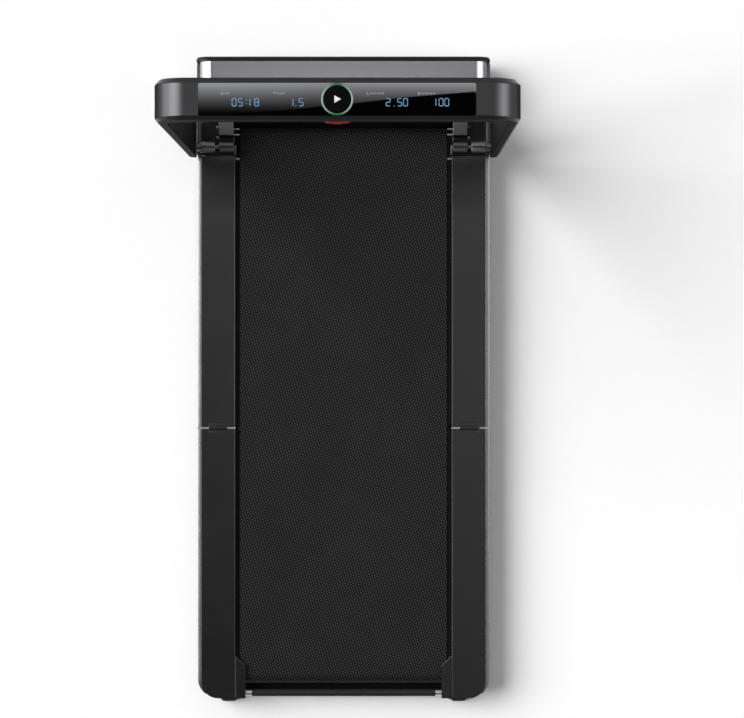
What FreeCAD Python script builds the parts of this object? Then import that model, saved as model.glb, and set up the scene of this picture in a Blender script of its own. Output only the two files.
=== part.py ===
import FreeCAD, Part
import Sketcher
import math
import os

# A folding walking pad with an upright handrail, in millimetres, built as separate pieces.
# +X is the walker's right, +Y points to the motor hood and +Z is up. The origin lies on the
# floor, under the middle of the part.

SIZES = {
    # the deck in plan
    "front_rail_length": 613.7,
    "fold_margin": 4,
    "hinge_bay_length": 80.3,
    "hood_length": 138.4,
    "rear_foot_overhang": 14.7,
    "belt_well_width": 487.4,
    "rail_width": 85,
    "belt_side_gap": 10,
    # the deck in height
    "foot_height": 14,
    "rail_height": 72,
    "belt_drop": 7.5,
    "belt_thickness": 2,
    "running_gap": 0.3,
    "board_thickness": 15,
    "cushion_height": 4,
    "cross_height": 14,
    # steel frame
    "tube_inset": 16,
    "tube_outer_gap": 13,
    "tube_wall": 2,
    "seam_setback": 5,
    "rear_tube_setback": 44,
    "cross_width": 30,
    "pan_thickness": 2,
    "pan_reach": 10,
    "pan_flange_height": 26,
    "tray_thickness": 2,
    "tray_setback": 1.7,
    "tray_lead": 25,
    # rail covers, trims and guards
    "cover_wall": 2.5,
    "cover_skirt_depth": 20,
    "cover_bevel": 2,
    "cover_end_gap": 2,
    "trim_width": 8,
    "trim_bottom_height": 20,
    "trim_end_inset": 28,
    "rail_corner_radius": 46,
    "guard_reach": 22.5,
    "guard_length": 96,
    "guard_block_length": 22,
    "guard_wall_lead": 20,
    "guard_depth": 22,
    "guard_wall": 5,
    "guard_top_thickness": 6,
    "rear_bar_diameter": 16,
    "rear_bar_setback": 11.5,
    "rear_bar_drop": 12,
    "bar_end_length": 14,
    "bar_end_step": 1,
    # boards and cushions
    "board_side_gap": 2,
    "belt_end_gap": 0.6,
    "board_end_gap": 3,
    "board_roller_gap": 30,
    "cushion_diameter": 30,
    "cushion_inset": 42,
    # rollers and drive
    "roller_diameter": 40,
    "roller_wall": 3,
    "roller_overhang": 2,
    "roller_end_thickness": 10,
    "drive_roller_setback": 30,
    "drive_shaft_diameter": 16,
    "bearing_width": 16,
    "bearing_gap": 12,
    "bearing_depth": 32,
    "bearing_cap_height": 16,
    "pulley_gap": 14,
    "pulley_width": 20,
    "pulley_flange": 2,
    "drive_pulley_diameter": 46,
    "shaft_end": 4,
    "motor_pulley_diameter": 22,
    "drive_belt_thickness": 3,
    "motor_diameter": 72,
    "motor_length": 140,
    "motor_lead": 60,
    "motor_rise": 23.8,
    "motor_pulley_gap": 21,
    "motor_shaft_diameter": 10,
    "motor_end_wall": 12,
    "motor_cavity_diameter": 52,
    "rotor_core_diameter": 46,
    "rotor_core_gap": 4,
    "cradle_length": 90,
    "cradle_depth": 60,
    "cradle_height": 24,
    "flywheel_diameter": 64,
    "flywheel_width": 12,
    "flywheel_gap": 4,
    "idler_shaft_diameter": 12,
    "idler_bracket_width": 12,
    "idler_bracket_front": 20,
    "idler_bracket_rear": 30,
    "idler_bracket_height": 22,
    "belt_rear_setback": 31.7,
    "tension_screw_diameter": 8,
    "tension_screw_length": 34,
    "screw_head_diameter": 13,
    "screw_head_height": 6,
    # feet and wheels
    "foot_diameter": 44,
    "rear_foot_width": 36.6,
    "rear_foot_inset": 0.3,
    "rear_foot_length": 69,
    "foot_flange_setback": 3.5,
    "foot_flange_thickness": 6,
    "foot_flange_inner_reach": 12,
    "foot_flange_outer_reach": 8,
    "wheel_diameter": 32,
    "wheel_width": 19,
    "wheel_floor_gap": 2,
    "wheel_setback": 30.4,
    "wheel_inset": 25.7,
    "axle_diameter": 8,
    "axle_head": 2,
    "axle_head_diameter": 12,
    "wheel_room": 4,
    "wheel_bracket_width": 18,
    "wheel_bracket_depth": 20,
    "wheel_bracket_height": 14,
    # hood
    "hood_height": 120,
    "hood_corner_radius": 42,
    "hood_shoulder_run": 16.3,
    "hood_shoulder_drop": 12.7,
    "hood_wall": 2.5,
    "cap_depth": 11,
    "hood_side_reach": 2,
    "cap_inside_inset": 43,
    "cap_edge_radius": 9,
    "cap_wall": 3,
    "cap_rim_width": 20,
    "lip_depth": 18,
    "lip_height": 46,
    "lip_slope": 8,
    "lip_flange": 10,
    "lip_flange_thickness": 5,
    # electrics
    "inlet_inset": 113.7,
    "inlet_width": 28,
    "inlet_height": 22,
    "inlet_depth": 27,
    "inlet_rim": 2.5,
    "socket_depth": 17,
    "prong_length": 11,
    "prong_width": 2,
    "prong_height": 4,
    "prong_spread": 7,
    "prong_offset": 4,
    "panel_height": 52,
    "switch_pitch": 39,
    "bezel_width": 24,
    "bezel_height": 16,
    "bezel_depth": 15,
    "rocker_width": 18,
    "rocker_height": 9,
    "rocker_depth": 11,
    "rocker_front_gap": 1.4,
    "rocker_swing_room": 1.7,
    "rocker_pin_diameter": 3,
    "rocker_pin_length": 1.8,
    "circuit_board_thickness": 1.6,
    "control_board_length": 200,
    "control_board_depth": 54,
    "control_board_inset": 88.7,
    "control_board_rise": 8,
    "control_board_setback": 16,
    "standoff_diameter": 7,
    "standoff_inset": 7,
    "heat_sink_length": 70,
    "heat_sink_depth": 36,
    "heat_sink_height": 34,
    "heat_sink_base": 5,
    "heat_sink_fin": 3,
    # fold hinge across the rails
    "fold_axis_rise": 0.8,
    "knuckle_diameter": 8,
    "knuckle_width": 14,
    "knuckle_gap": 0.4,
    "leaf_length": 12,
    "leaf_notch_gap": 0.3,
    "fold_pin_diameter": 3.2,
    "pin_play": 0.2,
    # handrail hinge
    "hinge_axis_rise": 28,
    "hinge_axis_lead": 17.2,
    "barrel_diameter": 28,
    "barrel_length": 32.4,
    "barrel_gap": 9.2,
    "barrel_side_gap": 2,
    "hinge_plate_height": 14.5,
    "hinge_end_gap": 0.5,
    "cheek_thickness": 7.6,
    "cheek_gap": 0.4,
    "cheek_web_height": 4.5,
    "hinge_boss_diameter": 20,
    "hinge_pin_diameter": 10,
    "stop_block_length": 30,
    "stop_block_lead": 42.3,
    "stop_block_height": 28,
    "slot_screw_diameter": 7.6,
    "slot_screw_lead": 39.8,
    "slot_screw_pitch": 23.5,
    "slot_screw_height": 4,
    "stop_bolt_diameter": 5,
    "stop_bolt_inset": 2.5,
    "stop_bolt_rise": 14,
    "stop_bolt_length": 11.9,
    "stop_bolt_pitch": 12.8,
    "rail_bolt_setback": 6.5,
    "rail_bolt_drop": 5.5,
    "rail_bolt_diameter": 6,
    "rail_bolt_length": 8.9,
    # handrail and console
    "handrail_height": 900,
    "post_gap": 1.2,
    "post_thickness": 22.6,
    "post_bottom_height": 80,
    "post_foot_cut": 10,
    "post_setback": 4.7,
    "post_depth": 82.4,
    "post_wall": 2.5,
    "bend_radius": 63,
    "elbow_run": 6,
    "inner_bend_radius": 40,
    "console_thickness": 38,
    "front_bevel": 8,
    "rear_bevel": 10.4,
    "glass_end_gap": 19,
    "glass_thickness": 2.5,
    "glass_play": 0.2,
    "glass_margin": 0.9,
    "glass_corner_radius": 4,
    "console_roof": 2.5,
    "ring_margin": 0.8,
    "button_play": 0.3,
    "button_height": 9,
    "button_crown": 1,
    "button_travel": 1.5,
    "button_stem_diameter": 8,
    "light_ring_width": 3.2,
    "ring_crown": 0.5,
    "display_board_inset": 35,
    "display_board_margin": 4,
    "display_board_drop": 14.4,
    "display_boss_diameter": 7,
    "display_boss_inset": 15,
    "cover_plate_thickness": 2.5,
    "cover_plate_end_gap": 4,
    "key_width": 50,
    "key_height": 18,
    "key_depth": 4,
    "key_chord": 56,
    "key_corner_radius": 8.5,
    "key_rise": 13,
    "key_stud_diameter": 10,
    "key_stud_length": 5,
    "key_play": 0.4,
    # how far cutting shapes run past the faces that they cut
    "overrun": 5,
}

# Shares of a length: where cross members stand along each half, counted from the fold.
front_cross_shares = (0.07, 0.42, 0.80)
rear_cross_shares = (0.08, 0.45, 0.80)
# Where the round feet beside the fold stand along each half.
seam_foot_share = 0.06
# How close two points lie that count as one place, as a share of the rail's wall.
same_place_share = 0.01

doc = FreeCAD.newDocument("walking_pad")
sheet = doc.addObject("Spreadsheet::Sheet", "sizes")
for row, (alias, length) in enumerate(SIZES.items(), start=1):
    sheet.set(f"A{row}", alias)
    sheet.set(f"B{row}", str(length))
    sheet.setAlias(f"B{row}", alias)
doc.recompute()


def number(length):
    """The plain number of a size, a count or a share."""
    return length.value if isinstance(length, Size) else float(length)


def words(length):
    """The sheet expression of a size, a count or a share."""
    return length.text if isinstance(length, Size) else repr(length)


class Size:
    """A length that carries its number and the sheet expression that gives it."""

    def __init__(self, value, text):
        self.value = value
        self.text = text

    def __add__(self, other):
        return Size(self.value + number(other), f"({self.text} + {words(other)})")

    def __sub__(self, other):
        return Size(self.value - number(other), f"({self.text} - {words(other)})")

    def __mul__(self, factor):
        return Size(self.value * number(factor), f"({self.text} * {words(factor)})")

    def __truediv__(self, divisor):
        return Size(self.value / number(divisor), f"({self.text} / {words(divisor)})")

    def __neg__(self):
        return Size(-self.value, f"(-1 * {self.text})")

    __radd__ = __add__
    __rmul__ = __mul__


class Sheet:
    """The sheet's sizes, each under its own name."""

    def __init__(self, names):
        for name in names:
            setattr(self, name, Size(float(sheet.get(name)), f"sizes.{name}"))


mm = Sheet(SIZES)
nodes = []


def bind(item, prop, length):
    """Ties a property to the sheet; zero needs no tie."""
    if isinstance(length, Size):
        item.setExpression(prop, length.text)


def place(item, point, turn=FreeCAD.Rotation()):
    """Puts an object at a point given in sizes, turned by a fixed rotation."""
    item.Placement = FreeCAD.Placement(FreeCAD.Vector(), turn)
    for axis, length in zip("xyz", point):
        bind(item, f"Placement.Base.{axis}", length)


def block(name, across, along, up):
    """A block between two places along each axis."""
    item = doc.addObject("Part::Box", name)
    for prop, (low, high) in zip(("Length", "Width", "Height"), (across, along, up)):
        bind(item, prop, high - low)
    place(item, (across[0], along[0], up[0]))
    return item


TURNS = {
    "x": FreeCAD.Rotation(FreeCAD.Vector(0, 1, 0), 90),
    "y": FreeCAD.Rotation(FreeCAD.Vector(1, 0, 0), -90),
    "z": FreeCAD.Rotation(),
}


def rod(name, axis, start, diameter, length):
    """A round bar that runs along an axis from its start."""
    item = doc.addObject("Part::Cylinder", name)
    bind(item, "Radius", diameter / 2)
    bind(item, "Height", length)
    place(item, start, TURNS[axis])
    return item


def rod_x(name, across, y, z, diameter):
    """A round bar along X between two places."""
    return rod(name, "x", (across[0], y, z), diameter, across[1] - across[0])


def rod_z(name, x, y, up, diameter):
    """A round bar along Z between two heights."""
    return rod(name, "z", (x, y, up[0]), diameter, up[1] - up[0])


def fuse(name, *items):
    item = doc.addObject("Part::MultiFuse", name)
    item.Shapes = list(items)
    return item


def cut(name, base, *tools):
    item = doc.addObject("Part::Cut", name)
    item.Base = base
    item.Tool = tools[0] if len(tools) == 1 else fuse(name + "_tools", *tools)
    return item


def common(name, base, tool):
    """What two solids share."""
    item = doc.addObject("Part::Common", name)
    item.Base = base
    item.Tool = tool
    return item


def group(name, *items):
    """Separate solids that share one node."""
    item = doc.addObject("Part::Compound", name)
    item.Links = list(items)
    return item


def node(item):
    """Marks an object as a finished piece: its label names its file."""
    nodes.append(item)
    return item


def both_sides(name, make):
    """Makes a piece on the left and on the right, as two solids of one node."""
    return node(group(name, make(name + "_left", -1), make(name + "_right", 1)))


def spread(side, near, far):
    """A span on one side of the middle, from its low to its high end."""
    return (near, far) if side > 0 else (-far, -near)


def wider(span, play):
    """A span with some play added at both ends, or taken off where it is negative."""
    return (span[0] - play, span[1] + play)


NORMALS = {"XY": "z", "XZ": "y", "YZ": "x"}


def outline(name, plane, points, start, end):
    """A closed outline of straight edges, drawn on a plane and padded from start to end."""
    body = doc.addObject("PartDesign::Body", name)
    sketch = body.newObject("Sketcher::SketchObject", name + "_sketch")
    support = [item for item in body.Origin.OriginFeatures if item.Role == plane + "_Plane"]
    sketch.AttachmentSupport = [(support[0], "")]
    sketch.MapMode = "FlatFace"
    corners = [FreeCAD.Vector(number(u), number(v), 0) for u, v in points]
    for index, corner in enumerate(corners):
        sketch.addGeometry(Part.LineSegment(corner, corners[(index + 1) % len(corners)]), False)
    for index, point in enumerate(points):
        sketch.addConstraint(Sketcher.Constraint("Coincident", index, 2, (index + 1) % len(points), 1))
        for kind, length in zip(("DistanceX", "DistanceY"), point):
            tie = sketch.addConstraint(Sketcher.Constraint(kind, -1, 1, index, 1, number(length)))
            sketch.setExpression(f"Constraints[{tie}]", length.text)
    pad = body.newObject("PartDesign::Pad", name + "_pad")
    pad.Profile = sketch
    pad.Reversed = plane == "XZ"
    bind(pad, "Length", end - start)
    place(body, [start if axis == NORMALS[plane] else 0 for axis in "xyz"])
    return body


def same_place(first, second):
    return abs(first - second) < number(mm.cover_wall) * same_place_share


def standing_at(plane, *spots):
    """Picks the edges along a plane's normal that stand at given spots of that plane."""
    def test(edge):
        for u, v in spots:
            if all(same_place(getattr(end, plane[0]), number(u))
                   and same_place(getattr(end, plane[1]), number(v)) for end in edge.Vertexes):
                return True
        return False
    return test


def dress(body, kind, prop, length, wanted):
    """Adds a fillet or a chamfer to the edges of a body that a test picks."""
    doc.recompute()
    base = body.Tip
    names = [f"Edge{count}" for count, edge in enumerate(base.Shape.Edges, start=1) if wanted(edge)]
    feature = body.newObject("PartDesign::" + kind, f"{body.Name}_{kind.lower()}")
    feature.Base = (base, names)
    bind(feature, prop, length)
    return body


def fillet(body, radius, wanted):
    return dress(body, "Fillet", "Radius", radius, wanted)


def chamfer(body, size, wanted):
    return dress(body, "Chamfer", "Size", size, wanted)


# Places along the deck, from the motor hood at the front to the rear feet.
overall_length = (mm.hood_length + mm.hinge_bay_length + mm.front_rail_length * 2
                  - mm.fold_margin + mm.rear_foot_overhang)
front_y = overall_length / 2
rear_y = -front_y
cap_y = front_y - mm.cap_depth
hood_y = front_y - mm.hood_length
rail_front_y = hood_y - mm.hinge_bay_length
seam_y = rail_front_y - mm.front_rail_length
rail_rear_y = rear_y + mm.rear_foot_overhang
drive_y = hood_y + mm.drive_roller_setback

# Places across the deck, from the middle outward.
well_x = mm.belt_well_width / 2
belt_x = well_x - mm.belt_side_gap
deck_x = well_x + mm.rail_width
trim_x = deck_x - mm.trim_width
tube_x = well_x + mm.tube_inset
tube_outer_x = trim_x - mm.tube_outer_gap
tube_middle_x = (tube_x + tube_outer_x) / 2
post_x = deck_x + mm.post_gap
post_outer_x = post_x + mm.post_thickness
roller_x = belt_x + mm.roller_overhang

# Heights, from the floor to the rails.
rail_z = mm.rail_height
cover_under_z = rail_z - mm.cover_wall
tube_z = mm.foot_height
belt_z = rail_z - mm.belt_drop
belt_under_z = belt_z - mm.belt_thickness
board_z = belt_under_z - mm.running_gap
board_under_z = board_z - mm.board_thickness
cross_z = board_under_z - mm.cushion_height
roller_z = belt_under_z - mm.running_gap - mm.roller_diameter / 2
return_z = roller_z - mm.roller_diameter / 2 - mm.running_gap
fold_z = rail_z + mm.fold_axis_rise
wrap_radius = mm.roller_diameter / 2 + mm.running_gap + mm.belt_thickness
idler_y = rail_rear_y + mm.belt_rear_setback + wrap_radius
front_run = (seam_y + mm.cover_end_gap, rail_front_y)
rear_run = (rail_rear_y, seam_y - mm.cover_end_gap)


# Steel frame: two side members and three cross members in each half of the deck.
def side_member(name, side, along):
    outer = block(name + "_outer", spread(side, tube_x, tube_outer_x), along, (tube_z, cover_under_z))
    hollow_x = spread(side, tube_x + mm.tube_wall, tube_outer_x - mm.tube_wall)
    hollow_y = (along[0] - mm.overrun, along[1] + mm.overrun)
    hollow_z = (tube_z + mm.tube_wall, cover_under_z - mm.tube_wall)
    return cut(name, outer, block(name + "_hollow", hollow_x, hollow_y, hollow_z))


front_tube = (seam_y + mm.seam_setback, hood_y)
rear_tube = (rail_rear_y + mm.rear_tube_setback, seam_y - mm.seam_setback)
both_sides("front_side_members", lambda name, side: side_member(name, side, front_tube))
both_sides("rear_side_members", lambda name, side: side_member(name, side, rear_tube))


def bars_and_cushions(half, direction, length, shares):
    """The cross members of one half, and the rubber cushions that stand on them."""
    bars = []
    cushions = []
    for count, share in enumerate(shares, start=1):
        middle = seam_y + length * (direction * share)
        along = (middle - mm.cross_width / 2, middle + mm.cross_width / 2)
        heights = (cross_z - mm.cross_height, cross_z)
        name = f"{half}_bar_{count}"
        solid = block(name + "_solid", (-tube_x, tube_x), along, heights)
        hollow = block(name + "_hollow", wider((-tube_x, tube_x), mm.overrun), wider(along, -mm.tube_wall),
                       wider(heights, -mm.tube_wall))
        bars.append(cut(name, solid, hollow))
        for side in (-1, 1):
            x = (well_x - mm.cushion_inset) * side
            name = f"{half}_cushion_{count}_{'left' if side < 0 else 'right'}"
            cushions.append(rod_z(name, x, middle, (cross_z, board_under_z), mm.cushion_diameter))
    node(group(f"{half}_cross_members", *bars))
    node(group(f"{half}_cushions", *cushions))


bars_and_cushions("front", 1, mm.front_rail_length, front_cross_shares)
bars_and_cushions("rear", -1, mm.front_rail_length - mm.fold_margin, rear_cross_shares)

# Deck boards, one in each half, between the fold and the roller of that half. Their edges
# run under the rail covers to the side members.
board_x = tube_x - mm.board_side_gap
for board, board_y in (
    ("front_deck_board", (seam_y + mm.board_end_gap, drive_y - mm.board_roller_gap)),
    ("rear_deck_board", (idler_y + mm.board_roller_gap, seam_y - mm.board_end_gap)),
):
    node(block(board, (-board_x, board_x), board_y, (board_under_z, board_z)))


# Walking belt: each half has a top run, a return run and the wrap round its roller.
def belt_half(name, direction, axis_y):
    start_y = seam_y + mm.belt_end_gap * direction
    along = (start_y, axis_y) if direction > 0 else (axis_y, start_y)
    across = (-belt_x, belt_x)
    top = block(name + "_top_run", across, along, (belt_under_z, belt_z))
    low = block(name + "_return_run", across, along, (return_z - mm.belt_thickness, return_z))
    ring = rod_x(name + "_ring", across, axis_y, roller_z, wrap_radius * 2)
    past = (-belt_x - mm.overrun, belt_x + mm.overrun)
    bore = rod_x(name + "_bore", past, axis_y, roller_z, (wrap_radius - mm.belt_thickness) * 2)
    far_y = axis_y - (wrap_radius + mm.overrun) * direction
    inner_y = (far_y, axis_y) if direction > 0 else (axis_y, far_y)
    low_z = roller_z - wrap_radius - mm.overrun
    inner = block(name + "_inner", past, inner_y, (low_z, roller_z + wrap_radius + mm.overrun))
    node(fuse(name, top, low, cut(name + "_wrap", ring, bore, inner)))


belt_half("walking_belt_front", 1, drive_y)
belt_half("walking_belt_rear", -1, idler_y)

# Fold hinge: in each rail, two knuckles of the front leaf hold one knuckle of the rear leaf.
knuckle_count = 3
leaf_x = tube_middle_x - mm.knuckle_width * knuckle_count / 2
leaf_outer_x = tube_middle_x + mm.knuckle_width * knuckle_count / 2


def knuckle_span(side, slot):
    near = leaf_x + mm.knuckle_width * slot
    return spread(side, near, near + mm.knuckle_width)


def fold_leaf(name, side, direction, own, other, bore):
    """One leaf: a plate, its own knuckles, and room for the other leaf's knuckles."""
    end_y = seam_y + mm.leaf_length * direction
    along = (seam_y, end_y) if direction > 0 else (end_y, seam_y)
    parts = [block(name + "_plate", spread(side, leaf_x, leaf_outer_x), along, (cover_under_z, rail_z))]
    for slot in own:
        low, high = knuckle_span(side, slot)
        span = (low + mm.knuckle_gap, high - mm.knuckle_gap)
        parts.append(rod_x(f"{name}_knuckle_{slot}", span, seam_y, fold_z, mm.knuckle_diameter))
    room = []
    for slot in other:
        low, high = knuckle_span(side, slot)
        span = (low - mm.knuckle_gap, high + mm.knuckle_gap)
        width = mm.knuckle_diameter + mm.knuckle_gap * 2
        room.append(rod_x(f"{name}_room_{slot}", span, seam_y, fold_z, width))
    past = spread(side, leaf_x - mm.overrun, leaf_outer_x + mm.overrun)
    room.append(rod_x(name + "_bore", past, seam_y, fold_z, bore))
    return cut(name, fuse(name + "_solid", *parts), *room)


tight_bore = mm.fold_pin_diameter + mm.pin_play
free_bore = mm.fold_pin_diameter + mm.running_gap * 2
both_sides("fold_leaves_front", lambda name, side: fold_leaf(name, side, 1, (0, 2), (1,), tight_bore))
both_sides("fold_leaves_rear", lambda name, side: fold_leaf(name, side, -1, (1,), (0, 2), free_bore))
both_sides("fold_pins", lambda name, side: rod_x(
    name, spread(side, leaf_x, leaf_outer_x), seam_y, fold_z, mm.fold_pin_diameter))


def leaf_notch(name, side):
    """The cut in a rail cover that lets the fold leaf lie flush in it."""
    low, high = spread(side, leaf_x - mm.leaf_notch_gap, leaf_outer_x + mm.leaf_notch_gap)
    reach = mm.leaf_length + mm.leaf_notch_gap
    return block(name + "_notch", (low, high), (seam_y - reach, seam_y + reach),
                 (cover_under_z - mm.overrun, rail_z + mm.overrun))


# Rail covers: dark caps over the side members, bevelled along the belt. The inner skirt stops
# over the deck board.
skirt_z = rail_z - mm.cover_skirt_depth
inner_skirt_z = board_z + mm.running_gap


def front_cover(name, side):
    inner = well_x + mm.cover_wall
    outer = trim_x - mm.cover_wall
    points = [
        (well_x, inner_skirt_z), (well_x, rail_z - mm.cover_bevel), (well_x + mm.cover_bevel, rail_z),
        (trim_x, rail_z), (trim_x, skirt_z), (outer, skirt_z),
        (outer, cover_under_z), (inner, cover_under_z), (inner, inner_skirt_z),
    ]
    shell = outline(name + "_shell", "XZ", [(x * side, z) for x, z in points], *front_run)
    return cut(name, shell, leaf_notch(name, side))


def plan(name, side, near, far, along, heights, radius):
    """A block whose outer rear corner is rounded in plan."""
    points = [(near, along[0]), (far, along[0]), (far, along[1]), (near, along[1])]
    body = outline(name, "XY", [(x * side, y) for x, y in points], *heights)
    return fillet(body, radius, standing_at("XY", (far * side, along[0])))


def rear_cover(name, side):
    radius = mm.rail_corner_radius - mm.trim_width
    outer = plan(name + "_outer", side, well_x, trim_x, rear_run, (skirt_z, rail_z), radius)
    bevelled = chamfer(outer, mm.cover_bevel, standing_at(
        "XZ", (well_x * side, mm.cover_skirt_depth)))
    inner_y = (rail_rear_y + mm.cover_wall, seam_y + mm.overrun)
    inner_z = (skirt_z - mm.overrun, cover_under_z)
    inner = plan(name + "_inner", side, well_x + mm.cover_wall, trim_x - mm.cover_wall, inner_y,
                 inner_z, radius - mm.cover_wall)
    room_x = spread(side, well_x - mm.overrun, well_x + mm.cover_wall + mm.overrun)
    board_room = block(name + "_board_room", room_x, inner_y, (skirt_z - mm.overrun, inner_skirt_z))
    return cut(name, bevelled, inner, board_room, leaf_notch(name, side))


both_sides("front_rail_covers", front_cover)
both_sides("rear_rail_covers", rear_cover)


# Side trims: bright strips along the deck that thin out round the rear corners.
def rear_trim(name, side):
    heights = (mm.trim_bottom_height, rail_z)
    outer = plan(name + "_outer", side, well_x, deck_x, rear_run, heights, mm.rail_corner_radius)
    past_y = (rail_rear_y, seam_y + mm.overrun)
    past_z = (mm.trim_bottom_height - mm.overrun, rail_z + mm.overrun)
    inner = plan(name + "_inner", side, well_x - mm.overrun, trim_x, past_y, past_z,
                 mm.rail_corner_radius - mm.trim_width)
    end_x = deck_x - mm.rail_corner_radius + mm.trim_end_inset
    end_y = (rail_rear_y - mm.overrun, rail_rear_y + mm.rail_corner_radius)
    end = block(name + "_end", spread(side, well_x - mm.overrun, end_x), end_y, past_z)
    return cut(name, outer, inner, end)


both_sides("front_side_trims", lambda name, side: block(
    name, spread(side, trim_x, deck_x), front_run, (mm.trim_bottom_height, rail_z)))
both_sides("rear_side_trims", rear_trim)


# Roller guards: lugs over the ends of the idler roller that also carry the rear bar.
def roller_guard(name, side):
    front = rail_rear_y + mm.guard_length
    near = well_x - mm.guard_reach
    points = [(well_x, front), (near, front - mm.guard_reach), (near, rail_rear_y), (well_x, rail_rear_y)]
    top = outline(name + "_top", "XY", [(x * side, y) for x, y in points],
                  rail_z - mm.guard_top_thickness, rail_z)
    heights = (rail_z - mm.guard_depth, rail_z)
    wall = block(name + "_wall", spread(side, well_x - mm.guard_wall, well_x),
                 (rail_rear_y, idler_y + mm.guard_wall_lead), heights)
    end = block(name + "_end", spread(side, near, well_x),
                (rail_rear_y, rail_rear_y + mm.guard_block_length), heights)
    return fuse(name, top, wall, end)


both_sides("roller_guards", roller_guard)
bar_y = rail_rear_y + mm.rear_bar_setback
bar_z = rail_z - mm.rear_bar_drop
bar_x = well_x - mm.guard_reach
sleeve_x = bar_x - mm.bar_end_length
bar_end_diameter = mm.rear_bar_diameter - mm.bar_end_step * 2
node(rod_x("rear_bar", (-sleeve_x, sleeve_x), bar_y, bar_z, mm.rear_bar_diameter))
both_sides("rear_bar_ends", lambda name, side: rod_x(
    name, spread(side, sleeve_x, bar_x), bar_y, bar_z, bar_end_diameter))

# Feet: round ones beside the fold and under the hinge bay, long ones at the rear corners.
seam_foot = mm.front_rail_length * seam_foot_share
front_feet = []
rear_feet = []
for side, hand in ((-1, "left"), (1, "right")):
    foot_x = tube_middle_x * side
    front_feet.append(rod_z(f"seam_foot_{hand}", foot_x, seam_y + seam_foot, (0, tube_z),
                            mm.foot_diameter))
    bay_y = rail_front_y + mm.hinge_bay_length / 2
    front_feet.append(rod_z(f"bay_foot_{hand}", foot_x, bay_y, (0, tube_z - mm.pan_thickness),
                            mm.foot_diameter))
    rear_feet.append(rod_z(f"rear_seam_foot_{hand}", foot_x, seam_y - seam_foot, (0, tube_z),
                           mm.foot_diameter))
    foot_edge = well_x - mm.rear_foot_inset
    foot_outer = foot_edge + mm.rear_foot_width
    foot_end_y = rear_y + mm.rear_foot_length
    pad = block(f"corner_pad_{hand}", spread(side, foot_edge, foot_outer), (rear_y, foot_end_y), (0, tube_z))
    flange_x = spread(side, foot_edge - mm.foot_flange_inner_reach, foot_outer + mm.foot_flange_outer_reach)
    flange = block(f"corner_flange_{hand}", flange_x, (rear_y + mm.foot_flange_setback, foot_end_y),
                   (tube_z - mm.foot_flange_thickness, tube_z))
    rear_feet.append(fuse(f"corner_foot_{hand}", pad, flange))
node(group("front_feet", *front_feet))
node(group("rear_feet", *rear_feet))

# Rear tray: the plate between the side members that closes the deck under the idler roller.
node(block("rear_tray", (-tube_x, tube_x), (rail_rear_y + mm.tray_setback, idler_y + mm.tray_lead),
           (tube_z, tube_z + mm.tray_thickness)))

# Base pan: the floor of the motor bay, with side flanges for the hood and slots for the wheels.
hood_x = trim_x - mm.hood_wall
wheel_outer_x = deck_x - mm.wheel_inset
wheel_x = wheel_outer_x - mm.wheel_width
wheel_y = front_y - mm.wheel_setback
wheel_z = mm.wheel_floor_gap + mm.wheel_diameter / 2
pan_parts = [block("pan_floor", (-hood_x, hood_x), (rail_front_y - mm.pan_reach, cap_y),
                   (tube_z - mm.pan_thickness, tube_z))]
wheel_slots = []
for side, hand in ((-1, "left"), (1, "right")):
    pan_parts.append(block(f"pan_flange_{hand}", spread(side, hood_x - mm.pan_thickness, hood_x),
                           (hood_y, cap_y), (tube_z, tube_z + mm.pan_flange_height)))
    wheel_slots.append(block(f"wheel_slot_{hand}",
                             spread(side, wheel_x - mm.wheel_room, wheel_outer_x + mm.wheel_room),
                             (wheel_y - mm.wheel_diameter / 2 - mm.wheel_room, cap_y + mm.overrun),
                             (tube_z - mm.pan_thickness - mm.overrun, tube_z + mm.overrun)))
node(cut("base_pan", fuse("pan_solid", *pan_parts), *wheel_slots))


# Transport wheels on stub axles.
def wheel_bracket(name, side):
    foot_x = wheel_x - mm.wheel_room
    foot = block(name + "_foot", spread(side, foot_x - mm.wheel_bracket_width, foot_x),
                 (wheel_y - mm.wheel_bracket_depth / 2, wheel_y + mm.wheel_bracket_depth / 2),
                 (tube_z, tube_z + mm.wheel_bracket_height))
    head_x = wheel_outer_x + mm.running_gap
    axle = rod_x(name + "_axle", spread(side, foot_x - mm.wheel_bracket_width / 2, head_x),
                 wheel_y, wheel_z, mm.axle_diameter)
    head = rod_x(name + "_head", spread(side, head_x, head_x + mm.axle_head),
                 wheel_y, wheel_z, mm.axle_head_diameter)
    return fuse(name, foot, axle, head)


both_sides("wheel_brackets", wheel_bracket)
for side, hand in ((-1, "left"), (1, "right")):
    wheel_name = f"transport_wheel_{hand}"
    tyre = rod_x(wheel_name + "_tyre", spread(side, wheel_x, wheel_outer_x), wheel_y, wheel_z,
                 mm.wheel_diameter)
    wheel_bore = rod_x(wheel_name + "_bore", spread(side, wheel_x - mm.overrun, wheel_outer_x + mm.overrun),
                       wheel_y, wheel_z, mm.axle_diameter + mm.running_gap * 2)
    node(cut(wheel_name, tyre, wheel_bore))


# Drive roller in its bearings, and the pulley on its left end.
def hollow_roller(name, y, bore):
    tube = rod_x(name + "_tube", (-roller_x, roller_x), y, roller_z, mm.roller_diameter)
    inside_x = roller_x - mm.roller_end_thickness
    inside = rod_x(name + "_inside", (-inside_x, inside_x), y, roller_z,
                   mm.roller_diameter - mm.roller_wall * 2)
    past = (-roller_x - mm.overrun, roller_x + mm.overrun)
    return cut(name, tube, inside, rod_x(name + "_bore", past, y, roller_z, bore))


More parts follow.
